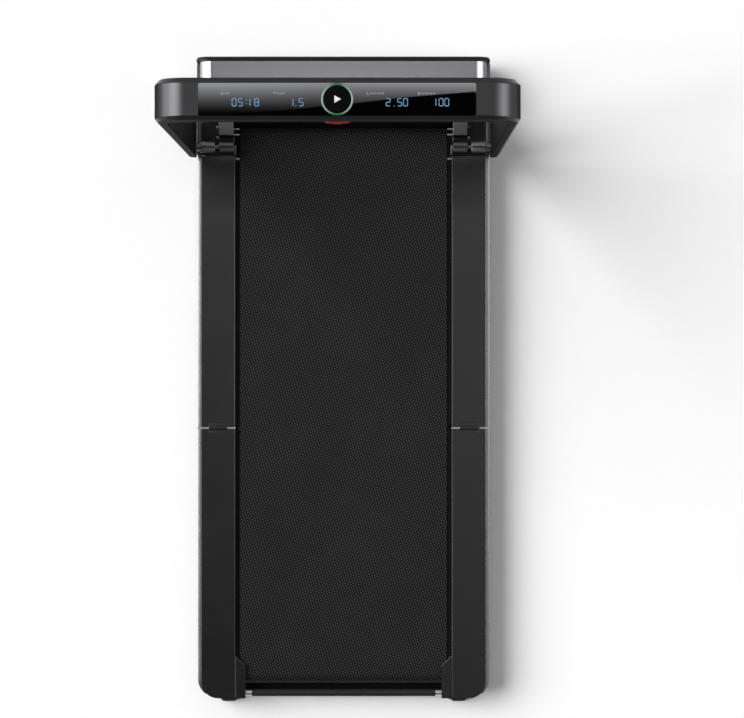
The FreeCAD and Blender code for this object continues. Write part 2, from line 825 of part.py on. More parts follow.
bearing_x = roller_x + mm.bearing_gap
bearing_outer_x = bearing_x + mm.bearing_width
pulley_x = bearing_outer_x + mm.pulley_gap
pulley_outer_x = pulley_x + mm.pulley_width
drive_tube = hollow_roller("drive_roller_shell", drive_y, mm.drive_shaft_diameter)
drive_shaft = rod_x("drive_shaft", (-pulley_outer_x - mm.shaft_end, bearing_outer_x + mm.shaft_end),
                    drive_y, roller_z, mm.drive_shaft_diameter)
node(fuse("drive_roller", drive_tube, drive_shaft))


def bearing_block(name, side):
    seat = block(name + "_seat", spread(side, bearing_x, bearing_outer_x),
                 (drive_y - mm.bearing_depth / 2, drive_y + mm.bearing_depth / 2),
                 (tube_z, roller_z + mm.bearing_cap_height))
    past = spread(side, bearing_x - mm.overrun, bearing_outer_x + mm.overrun)
    bore = rod_x(name + "_bore", past, drive_y, roller_z, mm.drive_shaft_diameter + mm.running_gap * 2)
    return cut(name, seat, bore)


both_sides("drive_bearings", bearing_block)


def flanged_pulley(name, y, z, diameter, bore):
    """A belt seat between two flanges, on a shaft along X at the left end of the drive."""
    low = -pulley_outer_x
    high = -pulley_x
    flange = diameter + mm.pulley_flange * 2
    seat = rod_x(name + "_seat", (low, high), y, z, diameter)
    outer = rod_x(name + "_outer_flange", (low, low + mm.pulley_flange), y, z, flange)
    inner = rod_x(name + "_inner_flange", (high - mm.pulley_flange, high), y, z, flange)
    hole = rod_x(name + "_hole", (low - mm.overrun, high + mm.overrun), y, z, bore)
    node(cut(name, fuse(name + "_solid", seat, outer, inner), hole))


motor_y = drive_y + mm.motor_lead
motor_z = roller_z + mm.motor_rise
flanged_pulley("drive_pulley", drive_y, roller_z, mm.drive_pulley_diameter, mm.drive_shaft_diameter)
flanged_pulley("motor_pulley", motor_y, motor_z, mm.motor_pulley_diameter, mm.motor_shaft_diameter)

# Motor: a can on a cradle, with the rotor inside and a flywheel on the right end of its shaft.
motor_left_x = -pulley_x + mm.motor_pulley_gap
motor_right_x = motor_left_x + mm.motor_length
motor_inside = (motor_left_x + mm.motor_end_wall, motor_right_x - mm.motor_end_wall)
can = rod_x("motor_can", (motor_left_x, motor_right_x), motor_y, motor_z, mm.motor_diameter)
can_inside = rod_x("motor_inside", motor_inside, motor_y, motor_z, mm.motor_cavity_diameter)
can_bore = rod_x("motor_bore", (motor_left_x - mm.overrun, motor_right_x + mm.overrun), motor_y, motor_z,
                 mm.motor_shaft_diameter + mm.running_gap * 2)
node(cut("motor_housing", can, can_inside, can_bore))
flywheel_x = motor_right_x + mm.flywheel_gap
flywheel_outer_x = flywheel_x + mm.flywheel_width
rotor_rod = rod_x("rotor_rod", (-pulley_outer_x - mm.shaft_end, flywheel_outer_x + mm.shaft_end),
                  motor_y, motor_z, mm.motor_shaft_diameter)
rotor_core = rod_x("rotor_core", (motor_inside[0] + mm.rotor_core_gap, motor_inside[1] - mm.rotor_core_gap),
                   motor_y, motor_z, mm.rotor_core_diameter)
node(fuse("rotor_shaft", rotor_rod, rotor_core))
disc = rod_x("flywheel_disc", (flywheel_x, flywheel_outer_x), motor_y, motor_z, mm.flywheel_diameter)
disc_bore = rod_x("flywheel_bore", (flywheel_x - mm.overrun, flywheel_outer_x + mm.overrun), motor_y, motor_z,
                  mm.motor_shaft_diameter)
node(cut("flywheel", disc, disc_bore))
cradle_x = (motor_left_x + motor_right_x) / 2
cradle_block = block("cradle_block", (cradle_x - mm.cradle_length / 2, cradle_x + mm.cradle_length / 2),
                     (motor_y - mm.cradle_depth / 2, motor_y + mm.cradle_depth / 2),
                     (tube_z, tube_z + mm.cradle_height))
cradle_seat = rod_x("cradle_seat", (motor_left_x, motor_right_x), motor_y, motor_z, mm.motor_diameter)
node(cut("motor_cradle", cradle_block, cradle_seat))


# Drive belt: a flat band on the common tangents of the two pulleys.
def loop_wire(x, drive_radius, motor_radius):
    """The closed line round both pulleys, in the plane across the shafts at x."""
    drive = FreeCAD.Vector(x, number(drive_y), number(roller_z))
    motor = FreeCAD.Vector(x, number(motor_y), number(motor_z))
    ahead = (motor - drive).normalize()
    aside = FreeCAD.Vector(1, 0, 0).cross(ahead)
    lean = math.acos((drive_radius - motor_radius) / drive.distanceToPoint(motor))

    def spot(centre, radius, angle):
        return centre + ahead * (radius * math.cos(angle)) + aside * (radius * math.sin(angle))

    upper = [spot(drive, drive_radius, lean), spot(motor, motor_radius, lean)]
    lower = [spot(motor, motor_radius, -lean), spot(drive, drive_radius, -lean)]
    return Part.Wire([
        Part.LineSegment(*upper).toShape(),
        Part.Arc(upper[1], spot(motor, motor_radius, 0), lower[0]).toShape(),
        Part.LineSegment(*lower).toShape(),
        Part.Arc(lower[1], spot(drive, drive_radius, math.pi), upper[0]).toShape(),
    ])


band_x = number(-pulley_outer_x + mm.pulley_flange + mm.running_gap)
band_width = number(mm.pulley_width - mm.pulley_flange * 2 - mm.running_gap * 2)
seats = (mm.drive_pulley_diameter, mm.motor_pulley_diameter)
inner_radii = [number(seat / 2 + mm.running_gap) for seat in seats]
outer_radii = [radius + number(mm.drive_belt_thickness) for radius in inner_radii]
band = Part.Face(loop_wire(band_x, *outer_radii)).cut(Part.Face(loop_wire(band_x, *inner_radii)))
drive_belt = doc.addObject("Part::Feature", "drive_belt")
drive_belt.Shape = band.extrude(FreeCAD.Vector(band_width, 0, 0))
node(drive_belt)

# Idler roller on a fixed shaft, held in brackets on the rear side members by tension screws.
node(hollow_roller("idler_roller", idler_y, mm.idler_shaft_diameter + mm.running_gap * 2))
bracket_x = tube_x - mm.idler_bracket_width
node(rod_x("idler_shaft", (-tube_x, tube_x), idler_y, roller_z, mm.idler_shaft_diameter))
screw_x = (bracket_x + tube_x) / 2
screw_y = idler_y - mm.idler_shaft_diameter / 2


def idler_bracket(name, side):
    seat = block(name + "_seat", spread(side, bracket_x, tube_x),
                 (idler_y - mm.idler_bracket_rear, idler_y + mm.idler_bracket_front),
                 (roller_z - mm.idler_bracket_height / 2, roller_z + mm.idler_bracket_height / 2))
    past = spread(side, bracket_x - mm.overrun, tube_x + mm.overrun)
    bore = rod_x(name + "_bore", past, idler_y, roller_z, mm.idler_shaft_diameter)
    start = (screw_x * side, screw_y - mm.tension_screw_length, roller_z)
    hole = rod(name + "_hole", "y", start, mm.tension_screw_diameter + mm.pin_play, mm.tension_screw_length)
    return cut(name, seat, bore, hole)


def tension_screw(name, side):
    start_y = screw_y - mm.tension_screw_length
    shank = rod(name + "_shank", "y", (screw_x * side, start_y, roller_z), mm.tension_screw_diameter,
                mm.tension_screw_length)
    head = rod(name + "_head", "y", (screw_x * side, start_y - mm.screw_head_height, roller_z),
               mm.screw_head_diameter, mm.screw_head_height)
    return fuse(name, shank, head)


both_sides("idler_brackets", idler_bracket)
both_sides("tension_screws", tension_screw)


# Motor hood with a low flange along each side, its front cap and the lip over the belt.
def hood_solid(name, x, top, bottom, along, radius):
    """A box with sloped shoulders that are rounded into its top."""
    edge_x = x - mm.hood_shoulder_run
    edge_z = top - mm.hood_shoulder_drop
    points = [(-x, bottom), (-x, edge_z), (-edge_x, top), (edge_x, top), (x, edge_z), (x, bottom)]
    body = outline(name, "XZ", points, *along)
    return fillet(body, radius, standing_at("XZ", (-edge_x, top), (edge_x, top)))


hood_along = (hood_y, cap_y)
hood_past = (hood_y - mm.overrun, cap_y + mm.overrun)
hood_under_z = mm.hood_height - mm.hood_wall
hood_outer = hood_solid("hood_outer", trim_x, mm.hood_height, mm.trim_bottom_height, hood_along,
                        mm.hood_corner_radius)
hood_inner = hood_solid("hood_inner", hood_x, hood_under_z, mm.trim_bottom_height - mm.overrun, hood_past,
                        mm.hood_corner_radius - mm.hood_wall)
hood_edge_x = deck_x + mm.hood_side_reach
hood_flanges = [block(f"hood_flange_{hand}", spread(side, trim_x, hood_edge_x), hood_along,
                      (mm.trim_bottom_height, rail_z)) for side, hand in ((-1, "left"), (1, "right"))]
node(fuse("motor_hood", cut("hood_shell", hood_outer, hood_inner), *hood_flanges))

inlet_x = deck_x - mm.inlet_inset
switch_x = inlet_x - mm.switch_pitch
inlet_span = (inlet_x - mm.inlet_width / 2, inlet_x + mm.inlet_width / 2)
inlet_heights = (mm.panel_height - mm.inlet_height / 2, mm.panel_height + mm.inlet_height / 2)
bezel_span = (switch_x - mm.bezel_width / 2, switch_x + mm.bezel_width / 2)
bezel_heights = (mm.panel_height - mm.bezel_height / 2, mm.panel_height + mm.bezel_height / 2)


cap_body = hood_solid("cap_body", deck_x, mm.hood_height, mm.trim_bottom_height, (cap_y, front_y),
                      mm.hood_corner_radius)
fillet(cap_body, mm.cap_edge_radius, lambda edge: all(
    same_place(end.Y, number(mm.cap_depth)) for end in edge.Vertexes))
cap_inside_x = deck_x - mm.cap_inside_inset
cap_inside = block("cap_inside", (-cap_inside_x, cap_inside_x), (cap_y - mm.overrun, front_y - mm.cap_wall),
                   (mm.trim_bottom_height + mm.cap_rim_width, mm.hood_height - mm.cap_rim_width))
cap_past = (cap_y - mm.overrun, front_y + mm.overrun)
inlet_hole = block("inlet_hole", wider(inlet_span, mm.pin_play), cap_past,
                   wider(inlet_heights, mm.pin_play))
bezel_hole = block("bezel_hole", wider(bezel_span, mm.pin_play), cap_past,
                   wider(bezel_heights, mm.pin_play))
node(cut("front_cap", cap_body, cap_inside, inlet_hole, bezel_hole))

lip_x = well_x - mm.guard_wall
lip_y = hood_y - mm.lip_depth
lip_top = hood_under_z
lip_low = lip_top - mm.lip_height
lip_points = [(lip_y, lip_low), (lip_y + mm.lip_slope, lip_top), (hood_y, lip_top), (hood_y, lip_low)]
lip_bar = outline("lip_bar", "YZ", lip_points, -lip_x, lip_x)
lip_flange = block("lip_flange", (-lip_x, lip_x), (hood_y, hood_y + mm.lip_flange),
                   (lip_top - mm.lip_flange_thickness, lip_top))
node(fuse("belt_guard", lip_bar, lip_flange))

# Power inlet: a three-pin mains socket set in the front cap.
socket_y = front_y - mm.socket_depth
inlet_shell = block("inlet_shell", inlet_span, (front_y - mm.inlet_depth, front_y), inlet_heights)
socket = block("inlet_socket", wider(inlet_span, -mm.inlet_rim), (socket_y, front_y + mm.overrun),
               wider(inlet_heights, -mm.inlet_rim))
prongs = []
for count, (across_place, up_place) in enumerate((
    (-mm.prong_spread, -mm.prong_offset), (0, mm.prong_offset), (mm.prong_spread, -mm.prong_offset),
), start=1):
    prong_x = inlet_x + across_place
    prong_z = mm.panel_height + up_place
    prongs.append(block(f"prong_{count}", (prong_x - mm.prong_width / 2, prong_x + mm.prong_width / 2),
                        (socket_y - mm.inlet_rim, socket_y + mm.prong_length),
                        (prong_z - mm.prong_height / 2, prong_z + mm.prong_height / 2)))
node(fuse("power_inlet", cut("inlet_body", inlet_shell, socket), *prongs))

# Power switch: a rocker on two pins in its bezel.
rocker_y = front_y - mm.rocker_front_gap - mm.rocker_depth / 2
rocker_span = (switch_x - mm.rocker_width / 2, switch_x + mm.rocker_width / 2)
rocker_heights = (mm.panel_height - mm.rocker_height / 2, mm.panel_height + mm.rocker_height / 2)
pin_span = wider(rocker_span, mm.rocker_pin_length)
rocker_block = block("rocker_block", rocker_span,
                     (rocker_y - mm.rocker_depth / 2, rocker_y + mm.rocker_depth / 2), rocker_heights)
rocker_pins = rod_x("rocker_pins", pin_span, rocker_y, mm.panel_height, mm.rocker_pin_diameter)
node(fuse("power_switch", rocker_block, rocker_pins))
bezel_y = front_y - mm.bezel_depth
bezel_block = block("bezel_block", bezel_span, (bezel_y, front_y), bezel_heights)
bezel_well = block("bezel_well", wider(rocker_span, mm.running_gap),
                   (bezel_y - mm.overrun, front_y + mm.overrun), wider(rocker_heights, mm.rocker_swing_room))
bezel_pins = rod_x("bezel_pins", wider(pin_span, mm.pin_play), rocker_y, mm.panel_height,
                   mm.rocker_pin_diameter + mm.running_gap * 2)
node(cut("switch_bezel", bezel_block, bezel_well, bezel_pins))

# Control board on standoffs, with a finned heat sink.
board_right = deck_x - mm.control_board_inset
board_left = board_right - mm.control_board_length
board_front = cap_y - mm.control_board_setback
board_back = board_front - mm.control_board_depth
circuit_z = tube_z + mm.control_board_rise
circuit_top = circuit_z + mm.circuit_board_thickness
board_parts = [block("control_plate", (board_left, board_right), (board_back, board_front),
                     (circuit_z, circuit_top))]
for count, (standoff_x, standoff_y) in enumerate((
    (board_left + mm.standoff_inset, board_back + mm.standoff_inset),
    (board_left + mm.standoff_inset, board_front - mm.standoff_inset),
    (board_right - mm.standoff_inset, board_back + mm.standoff_inset),
    (board_right - mm.standoff_inset, board_front - mm.standoff_inset),
), start=1):
    board_parts.append(rod_z(f"standoff_{count}", standoff_x, standoff_y, (tube_z, circuit_z),
                             mm.standoff_diameter))
node(fuse("control_board", *board_parts))
sink_left = (board_left + board_right) / 2 - mm.heat_sink_length / 2
sink_y = ((board_back + board_front) / 2 - mm.heat_sink_depth / 2,
          (board_back + board_front) / 2 + mm.heat_sink_depth / 2)
sink_parts = [block("sink_base", (sink_left, sink_left + mm.heat_sink_length), sink_y,
                    (circuit_top, circuit_top + mm.heat_sink_base))]
fin_count = 8
for count in range(fin_count):
    fin_x = sink_left + (mm.heat_sink_length - mm.heat_sink_fin) * (count / (fin_count - 1))
    sink_parts.append(block(f"sink_fin_{count}", (fin_x, fin_x + mm.heat_sink_fin), sink_y,
                            (circuit_top, circuit_top + mm.heat_sink_height)))
node(fuse("heat_sink", *sink_parts))

# Handrail hinge: a base on each side member carries the inner knuckle, the stop and a cheek
# that covers the side member beside the post.
hinge_y = rail_front_y + mm.hinge_axis_lead
hinge_z = rail_z + mm.hinge_axis_rise
knuckle_x = well_x + mm.barrel_side_gap
knuckle_outer_x = knuckle_x + mm.barrel_length
barrel_x = knuckle_outer_x + mm.barrel_gap
barrel_outer_x = barrel_x + mm.barrel_length
plate_top = cover_under_z + mm.hinge_plate_height
stop_y = (rail_front_y + mm.stop_block_lead, rail_front_y + mm.stop_block_lead + mm.stop_block_length)


def hinge_base(name, side):
    knuckle_span_x = spread(side, knuckle_x, knuckle_outer_x)
    bay_y = wider((rail_front_y, hood_y), -mm.hinge_end_gap)
    plate = block(name + "_plate", spread(side, knuckle_x, barrel_outer_x), bay_y, (cover_under_z, plate_top))
    cheek_x = post_x - mm.cheek_gap
    rim = block(name + "_rim", spread(side, barrel_outer_x, cheek_x), bay_y,
                (cover_under_z, cover_under_z + mm.cheek_web_height))
    cheek = block(name + "_cheek", spread(side, cheek_x - mm.cheek_thickness, cheek_x), bay_y,
                  (mm.trim_bottom_height, plate_top))
    web = block(name + "_web", knuckle_span_x,
                (hinge_y - mm.barrel_diameter / 2, hinge_y + mm.barrel_diameter / 2), (plate_top, hinge_z))
    knuckle = rod_x(name + "_knuckle", knuckle_span_x, hinge_y, hinge_z, mm.barrel_diameter)
    stop = block(name + "_stop", knuckle_span_x, stop_y, (plate_top, plate_top + mm.stop_block_height))
    past = spread(side, knuckle_x - mm.overrun, knuckle_outer_x + mm.overrun)
    bore = rod_x(name + "_bore", past, hinge_y, hinge_z, mm.hinge_pin_diameter + mm.running_gap * 2)
    return cut(name, fuse(name + "_solid", plate, rim, cheek, web, knuckle, stop), bore)


def hinge_barrel(name, side):
    """The handrail's own barrel, with the pin through the base knuckle and the boss to the post."""
    barrel = rod_x(name + "_barrel", spread(side, barrel_x, barrel_outer_x), hinge_y, hinge_z,
                   mm.barrel_diameter)
    boss = rod_x(name + "_boss", spread(side, barrel_outer_x, post_x), hinge_y, hinge_z,
                 mm.hinge_boss_diameter)
    pin = rod_x(name + "_pin", spread(side, knuckle_x + mm.running_gap, barrel_x), hinge_y, hinge_z,
                mm.hinge_pin_diameter)
    return fuse(name, barrel, boss, pin)


both_sides("hinge_bases", hinge_base)
both_sides("hinge_barrels", hinge_barrel)
fasteners = []
for side, hand in ((-1, "left"), (1, "right")):
    for count in range(2):
        screw_y = rail_front_y + mm.slot_screw_lead + mm.slot_screw_pitch * count
        fasteners.append(rod_z(f"slot_screw_{count}_{hand}", (knuckle_outer_x + barrel_x) / 2 * side, screw_y,
                               (plate_top, plate_top + mm.slot_screw_height), mm.slot_screw_diameter))
        bolt_y = stop_y[0] + mm.stop_bolt_inset + mm.stop_bolt_pitch * count
        bolt_x = spread(side, knuckle_x - mm.stop_bolt_length, knuckle_x)
        fasteners.append(rod_x(f"stop_bolt_{count}_{hand}", bolt_x, bolt_y, plate_top + mm.stop_bolt_rise,
                               mm.stop_bolt_diameter))
    fasteners.append(rod_x(f"rail_bolt_{hand}", spread(side, well_x - mm.rail_bolt_length, well_x),
                           rail_front_y - mm.rail_bolt_setback, rail_z - mm.rail_bolt_drop,
                           mm.rail_bolt_diameter))
node(group("hinge_fasteners", *fasteners))

# Handrail posts: hollow uprights that bend inward at the top to meet the console.
top_z = mm.handrail_height
console_z = top_z - mm.console_thickness
elbow_x = post_outer_x - mm.bend_radius - mm.elbow_run
post_y = rail_front_y - mm.post_setback
post_far_y = post_y + mm.post_depth
flat_y = (post_y + mm.front_bevel, post_far_y - mm.rear_bevel)


def bent_bar(name, side, inset, end_x, bottom, along):
    """An upright with a bent top and a cut foot; inset takes a wall off its outline on every side."""
    outer = post_outer_x - inset
    inner = post_x + inset
    top = top_z - inset
    under = console_z + inset
    foot = [(outer, bottom + mm.post_foot_cut), (outer - mm.post_foot_cut, bottom), (inner, bottom)]
    points = [(end_x, top), (outer, top), *foot, (inner, under), (end_x, under)]
    body = outline(name, "XZ", [(x * side, z) for x, z in points], *along)
    fillet(body, mm.bend_radius - inset, standing_at("XZ", (outer * side, top)))
    return fillet(body, mm.inner_bend_radius + inset, standing_at("XZ", (inner * side, under)))


def outer_edges(side, y):
    """Picks the edges at a face of a post that run along its outer outline."""
    def test(edge):
        return all(same_place(end.Y, number(y)) and (
            same_place(end.X, number(post_outer_x * side)) or same_place(end.Z, number(top_z))
        ) for end in edge.Vertexes)
    return test


for side, hand in ((-1, "left"), (1, "right")):
    post_name = f"handrail_post_{hand}"
    post_bar = bent_bar(post_name + "_bar", side, 0, elbow_x, mm.post_bottom_height,
                        (post_y, post_far_y))
    chamfer(post_bar, mm.front_bevel, outer_edges(side, 0))
    chamfer(post_bar, mm.rear_bevel, outer_edges(side, mm.post_depth))
    post_hollow = bent_bar(post_name + "_hollow", side, mm.post_wall, elbow_x - mm.overrun,
                           mm.post_bottom_height - mm.overrun, flat_y)
    node(cut(post_name, post_bar, post_hollow))

# Console: a shell between the posts, with a pocket for the glass and bosses for the board.
glass_x = elbow_x - mm.glass_end_gap
glass_y = wider(flat_y, -mm.glass_margin)
glass_floor = top_z - mm.glass_thickness
roof_z = glass_floor - mm.console_roof
display_top = top_z - mm.display_board_drop
display_x = glass_x - mm.display_board_inset
display_y = wider(flat_y, -mm.display_board_margin)
button_y = (flat_y[0] + flat_y[1]) / 2
ring_outer = glass_y[1] - glass_y[0] - mm.ring_margin * 2
ring_inner = ring_outer - mm.light_ring_width * 2
button_diameter = ring_inner - mm.button_play * 2
key_z = console_z + mm.key_rise

shell_points = [
    (post_y, console_z), (post_y, top_z - mm.front_bevel), (flat_y[0], top_z),
    (flat_y[1], top_z), (post_far_y, top_z - mm.rear_bevel), (post_far_y, console_z),
]
shell_bar = outline("console_bar", "YZ", shell_points, -elbow_x, elbow_x)
shell_cavity = block("console_cavity", (-elbow_x - mm.overrun, elbow_x + mm.overrun), flat_y,
                     (console_z - mm.overrun, roof_z))
glass_pocket = block("glass_pocket", (-glass_x - mm.glass_play, glass_x + mm.glass_play),
                     wider(glass_y, mm.glass_play), (glass_floor, top_z + mm.overrun))
button_hole = rod_z("button_hole", 0, button_y, (console_z, top_z), ring_inner)
key_hole = rod("key_hole", "y", (0, post_y - mm.overrun, key_z), mm.key_stud_diameter + mm.key_play * 2,
               mm.overrun + mm.key_stud_length + mm.key_play)
console_cut = cut("console_cut", shell_bar, shell_cavity, glass_pocket, button_hole, key_hole)
boss_x = display_x - mm.display_boss_inset
bosses = []
for side in (-1, 1):
    for row, boss_y in enumerate(wider(display_y, -mm.display_boss_diameter), start=1):
        bosses.append(rod_z(f"display_boss_{row}_{'left' if side < 0 else 'right'}", boss_x * side, boss_y,
                            (display_top, roof_z + mm.console_roof / 2), mm.display_boss_diameter))
node(fuse("console_shell", console_cut, *bosses))

cover_x = elbow_x - mm.cover_plate_end_gap
node(block("console_bottom_cover", (-cover_x, cover_x), wider(flat_y, -mm.glass_play),
           (console_z, console_z + mm.cover_plate_thickness)))
node(block("display_board", (-display_x, display_x), display_y,
           (display_top - mm.circuit_board_thickness, display_top)))

glass_points = [(-glass_x, glass_y[0]), (glass_x, glass_y[0]), (glass_x, glass_y[1]), (-glass_x, glass_y[1])]
glass_pane = outline("glass_pane", "XY", glass_points, glass_floor, top_z)
fillet(glass_pane, mm.glass_corner_radius, standing_at("XY", *glass_points))
ring_hole = rod_z("ring_hole", 0, button_y, (console_z, top_z + mm.overrun), ring_outer + mm.glass_play * 2)
node(cut("display_glass", glass_pane, ring_hole))
ring_solid = rod_z("ring_solid", 0, button_y, (glass_floor, top_z + mm.ring_crown), ring_outer)
ring_bore = rod_z("ring_bore", 0, button_y, (console_z, top_z + mm.overrun), ring_inner)
node(cut("light_ring", ring_solid, ring_bore))

# Start button: a round cap in the light ring, with a stem over the display board.
cap_top = top_z + mm.button_crown
cap_bottom = cap_top - mm.button_height
button_cap = rod_z("button_cap", 0, button_y, (cap_bottom, cap_top), button_diameter)
button_stem = rod_z("button_stem", 0, button_y,
                    (display_top + mm.button_travel + mm.running_gap, cap_bottom), mm.button_stem_diameter)
node(fuse("start_button", button_cap, button_stem))

# Safety key: a rounded tab on the walker's side of the console, bowed in plan and held by a stud.
key_face = post_y - mm.key_play
key_x = mm.key_width / 2
key_low = key_z - mm.key_height / 2
key_high = key_z + mm.key_height / 2
key_points = [(-key_x, key_low), (-key_x, key_high), (key_x, key_high), (key_x, key_low)]
key_block = outline("key_block", "XZ", key_points, key_face - mm.key_depth, key_face)
fillet(key_block, mm.key_corner_radius, standing_at("XZ", *key_points))
key_bow = (mm.key_chord * mm.key_chord / 4 + mm.key_depth * mm.key_depth) / (mm.key_depth * 2)
key_disc = rod_z("key_disc", 0, key_face - mm.key_depth + key_bow, (key_low, key_high), key_bow * 2)
key_tab = common("key_tab", key_block, key_disc)
key_stud = rod("key_stud", "y", (0, key_face, key_z), mm.key_stud_diameter, mm.key_stud_length)
node(fuse("safety_key", key_tab, key_stud))


# Every object has to be sound before any piece is written.
doc.recompute()
for item in doc.Objects:
    if "Invalid" in item.State or "Error" in item.State:
        raise RuntimeError(f"{item.Name} did not build: {item.State}")
for item in nodes:
    if item.Shape.isNull() or not item.Shape.isValid():
        raise RuntimeError(f"{item.Label} is not a sound solid")
os.makedirs("parts", exist_ok=True)
for item in nodes:
    item.Shape.exportStep(f"parts/{item.Label}.step")
    print(item.Label, len(item.Shape.Solids), "solids", round(item.Shape.Volume), "cubic mm")
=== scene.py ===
# %% [markdown]
# # Dressing a folding walking pad
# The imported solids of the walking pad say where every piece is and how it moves. This lesson gives them
# their finishes, and builds finer pieces over those that show most, such as the belt, the handrail and
# the console.

# %% Load the frame
import bmesh
import bpy
from math import asin, atan2, cos, degrees, pi, radians, sin, tan
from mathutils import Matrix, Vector


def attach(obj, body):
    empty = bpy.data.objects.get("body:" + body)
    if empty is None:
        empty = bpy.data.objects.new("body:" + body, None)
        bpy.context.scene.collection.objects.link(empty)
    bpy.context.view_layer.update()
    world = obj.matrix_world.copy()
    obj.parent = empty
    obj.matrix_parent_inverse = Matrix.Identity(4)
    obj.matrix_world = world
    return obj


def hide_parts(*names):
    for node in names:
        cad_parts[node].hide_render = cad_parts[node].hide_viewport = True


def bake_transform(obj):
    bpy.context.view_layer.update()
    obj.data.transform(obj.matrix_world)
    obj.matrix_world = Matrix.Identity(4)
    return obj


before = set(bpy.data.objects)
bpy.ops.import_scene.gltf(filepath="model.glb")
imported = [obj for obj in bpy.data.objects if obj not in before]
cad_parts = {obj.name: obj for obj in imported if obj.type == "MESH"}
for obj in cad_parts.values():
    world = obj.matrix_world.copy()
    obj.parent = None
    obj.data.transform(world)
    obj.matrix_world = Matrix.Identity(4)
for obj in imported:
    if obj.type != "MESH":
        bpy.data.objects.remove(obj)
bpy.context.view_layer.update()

# %% [markdown]
# ## The camera
# A long lens high over the deck sees the pad from straight above, so its sides hardly show. The
# handrail is nearer to the lens and looks larger than the deck below it, which is how the camera's
# height was found. A small shift frames the picture a little to one side.

# %% Camera
scene = bpy.context.scene
scene.view_settings.view_transform = "Standard"
lens = bpy.data.cameras.new("overhead_lens")
lens.lens = 112.6
lens.sensor_width = 36
picture_width, aside_px = 744, 5.86
lens.shift_x = -aside_px / picture_width
camera = bpy.data.objects.new("overhead_camera", lens)
camera.location = (0.07745, 0.0515, 5.319)
scene.collection.objects.link(camera)
scene.camera = camera
print("camera", round(camera.location.z, 3), "m above the floor")

# %% [markdown]
# ## Small tools for finishes
# Colours are written as sRGB hex values, and the renderer works in linear light, so one function turns
# the one into the other. A second adds a shader node and sets or links its inputs. Three more are short
# names for common nodes: arithmetic, one range mapped onto another, and a tone between two colours.

# %% Colour and node tools
def linear(hex_colour):
    """The linear colour of an sRGB hex value."""
    parts = [int(hex_colour[i:i + 2], 16) / 255 for i in (1, 3, 5)]
    return tuple(p / 12.92 if p <= 0.04045 else ((p + 0.055) / 1.055) ** 2.4 for p in parts) + (1.0,)


def add(tree, kind, inputs, **settings):
    """Adds a node; an input takes a value, or a link to another node's output."""
    node = tree.nodes.new(kind)
    for name, value in settings.items():
        setattr(node, name, value)
    for key, value in inputs.items():
        if isinstance(value, bpy.types.NodeSocket):
            tree.links.new(value, node.inputs[key])
        else:
            node.inputs[key].default_value = value
    return node


def maths(tree, operation, *values):
    """The result of an operation on values and outputs."""
    return add(tree, "ShaderNodeMath", dict(enumerate(values)), operation=operation).outputs[0]


def ramp(tree, value, low, high, to_low=0.0, to_high=1.0):
    """Maps the range from low to high onto another one, and stops at its ends."""
    return add(tree, "ShaderNodeMapRange", {"Value": value, "From Min": low, "From Max": high,
                                            "To Min": to_low, "To Max": to_high}).outputs[0]


def tones(tree, share, dark, light):
    """The colour at a share of the way between two hex colours."""
    mix = add(tree, "ShaderNodeMix", {0: share, 6: linear(dark), 7: linear(light)}, data_type="RGBA")
    return mix.outputs[2]


print("mid grey in linear light:", round(linear("#808080")[0], 3))

# %% [markdown]
# ## Studio light
# Dark plastic and satin metal show mostly what they mirror. The room is dim overhead, and darkest over
# the rear left, so that flat tops stay dark and fade along the deck. It is paler at the horizon, so
# that rounded edges catch a line of light. The key lamp is far off on the left and very wide, so the
# shadow to the right of the deck is deep at its foot and fades out over a hand's width.

# %% Room and lamp
room = bpy.data.worlds.new("studio_room")
room.use_nodes = True
scene.world = room
tree = room.node_tree
backdrop = tree.nodes["Background"].inputs
backdrop["Color"].default_value = linear("#ffffff")
dark_overhead, pale_overhead, horizon = 0.02, 0.47, 0.4
way = add(tree, "ShaderNodeTexCoord", {}).outputs["Generated"]
parts = add(tree, "ShaderNodeSeparateXYZ", {0: way}).outputs
aside = maths(tree, "MULTIPLY_ADD", parts["X"], 0.9, parts["Y"])
overhead = ramp(tree, aside, -0.19, 0.0, dark_overhead, pale_overhead)
climb = ramp(tree, parts["Z"], 0.06, 0.5)
glow = add(tree, "ShaderNodeMix", {0: climb, 2: horizon, 3: overhead})
tree.links.new(glow.outputs[0], backdrop["Strength"])


def facing(place, target):
    """The turn that points a lamp or a card from its place to a target."""
    return (Vector(target) - Vector(place)).to_track_quat("-Z", "Y").to_euler()


key_light = bpy.data.lights.new("key_lamp", "SUN")
key_light.energy = 3.65
key_light.angle = radians(50)
key_lamp = bpy.data.objects.new("key_lamp", key_light)
key_lamp.location = (-4.2, 1.2, 3.65)
key_lamp.rotation_euler = facing(key_lamp.location, (0.0, 0.0, 0.0))
scene.collection.objects.link(key_lamp)
print("key lamp of strength", round(key_light.energy, 2))

# %% [markdown]
# ## The floor
# The pad stands on white matte paper. Its own colour makes the background white, so the shadow beside
# the deck stays on it.

# %% Paper floor
def surface(name, mirror=0.5, **constants):
    """Starts a finish: its material, nodes, shader, and the place on the piece in metres."""
    material = bpy.data.materials.new(name)
    material.use_nodes = True
    nodes = material.node_tree
    shader = nodes.nodes["Principled BSDF"]
    shader.inputs["Specular IOR Level"].default_value = mirror
    for socket, value in constants.items():
        shader.inputs[socket.replace("_", " ")].default_value = value
    return material, nodes, shader, add(nodes, "ShaderNodeTexCoord", {}).outputs["Object"]


def noise(tree, place, per_metre, detail):
    """A cloudy noise with about so many patches in a metre."""
    inputs = {"Vector": place, "Scale": per_metre, "Detail": detail}
    return add(tree, "ShaderNodeTexNoise", inputs).outputs[0]


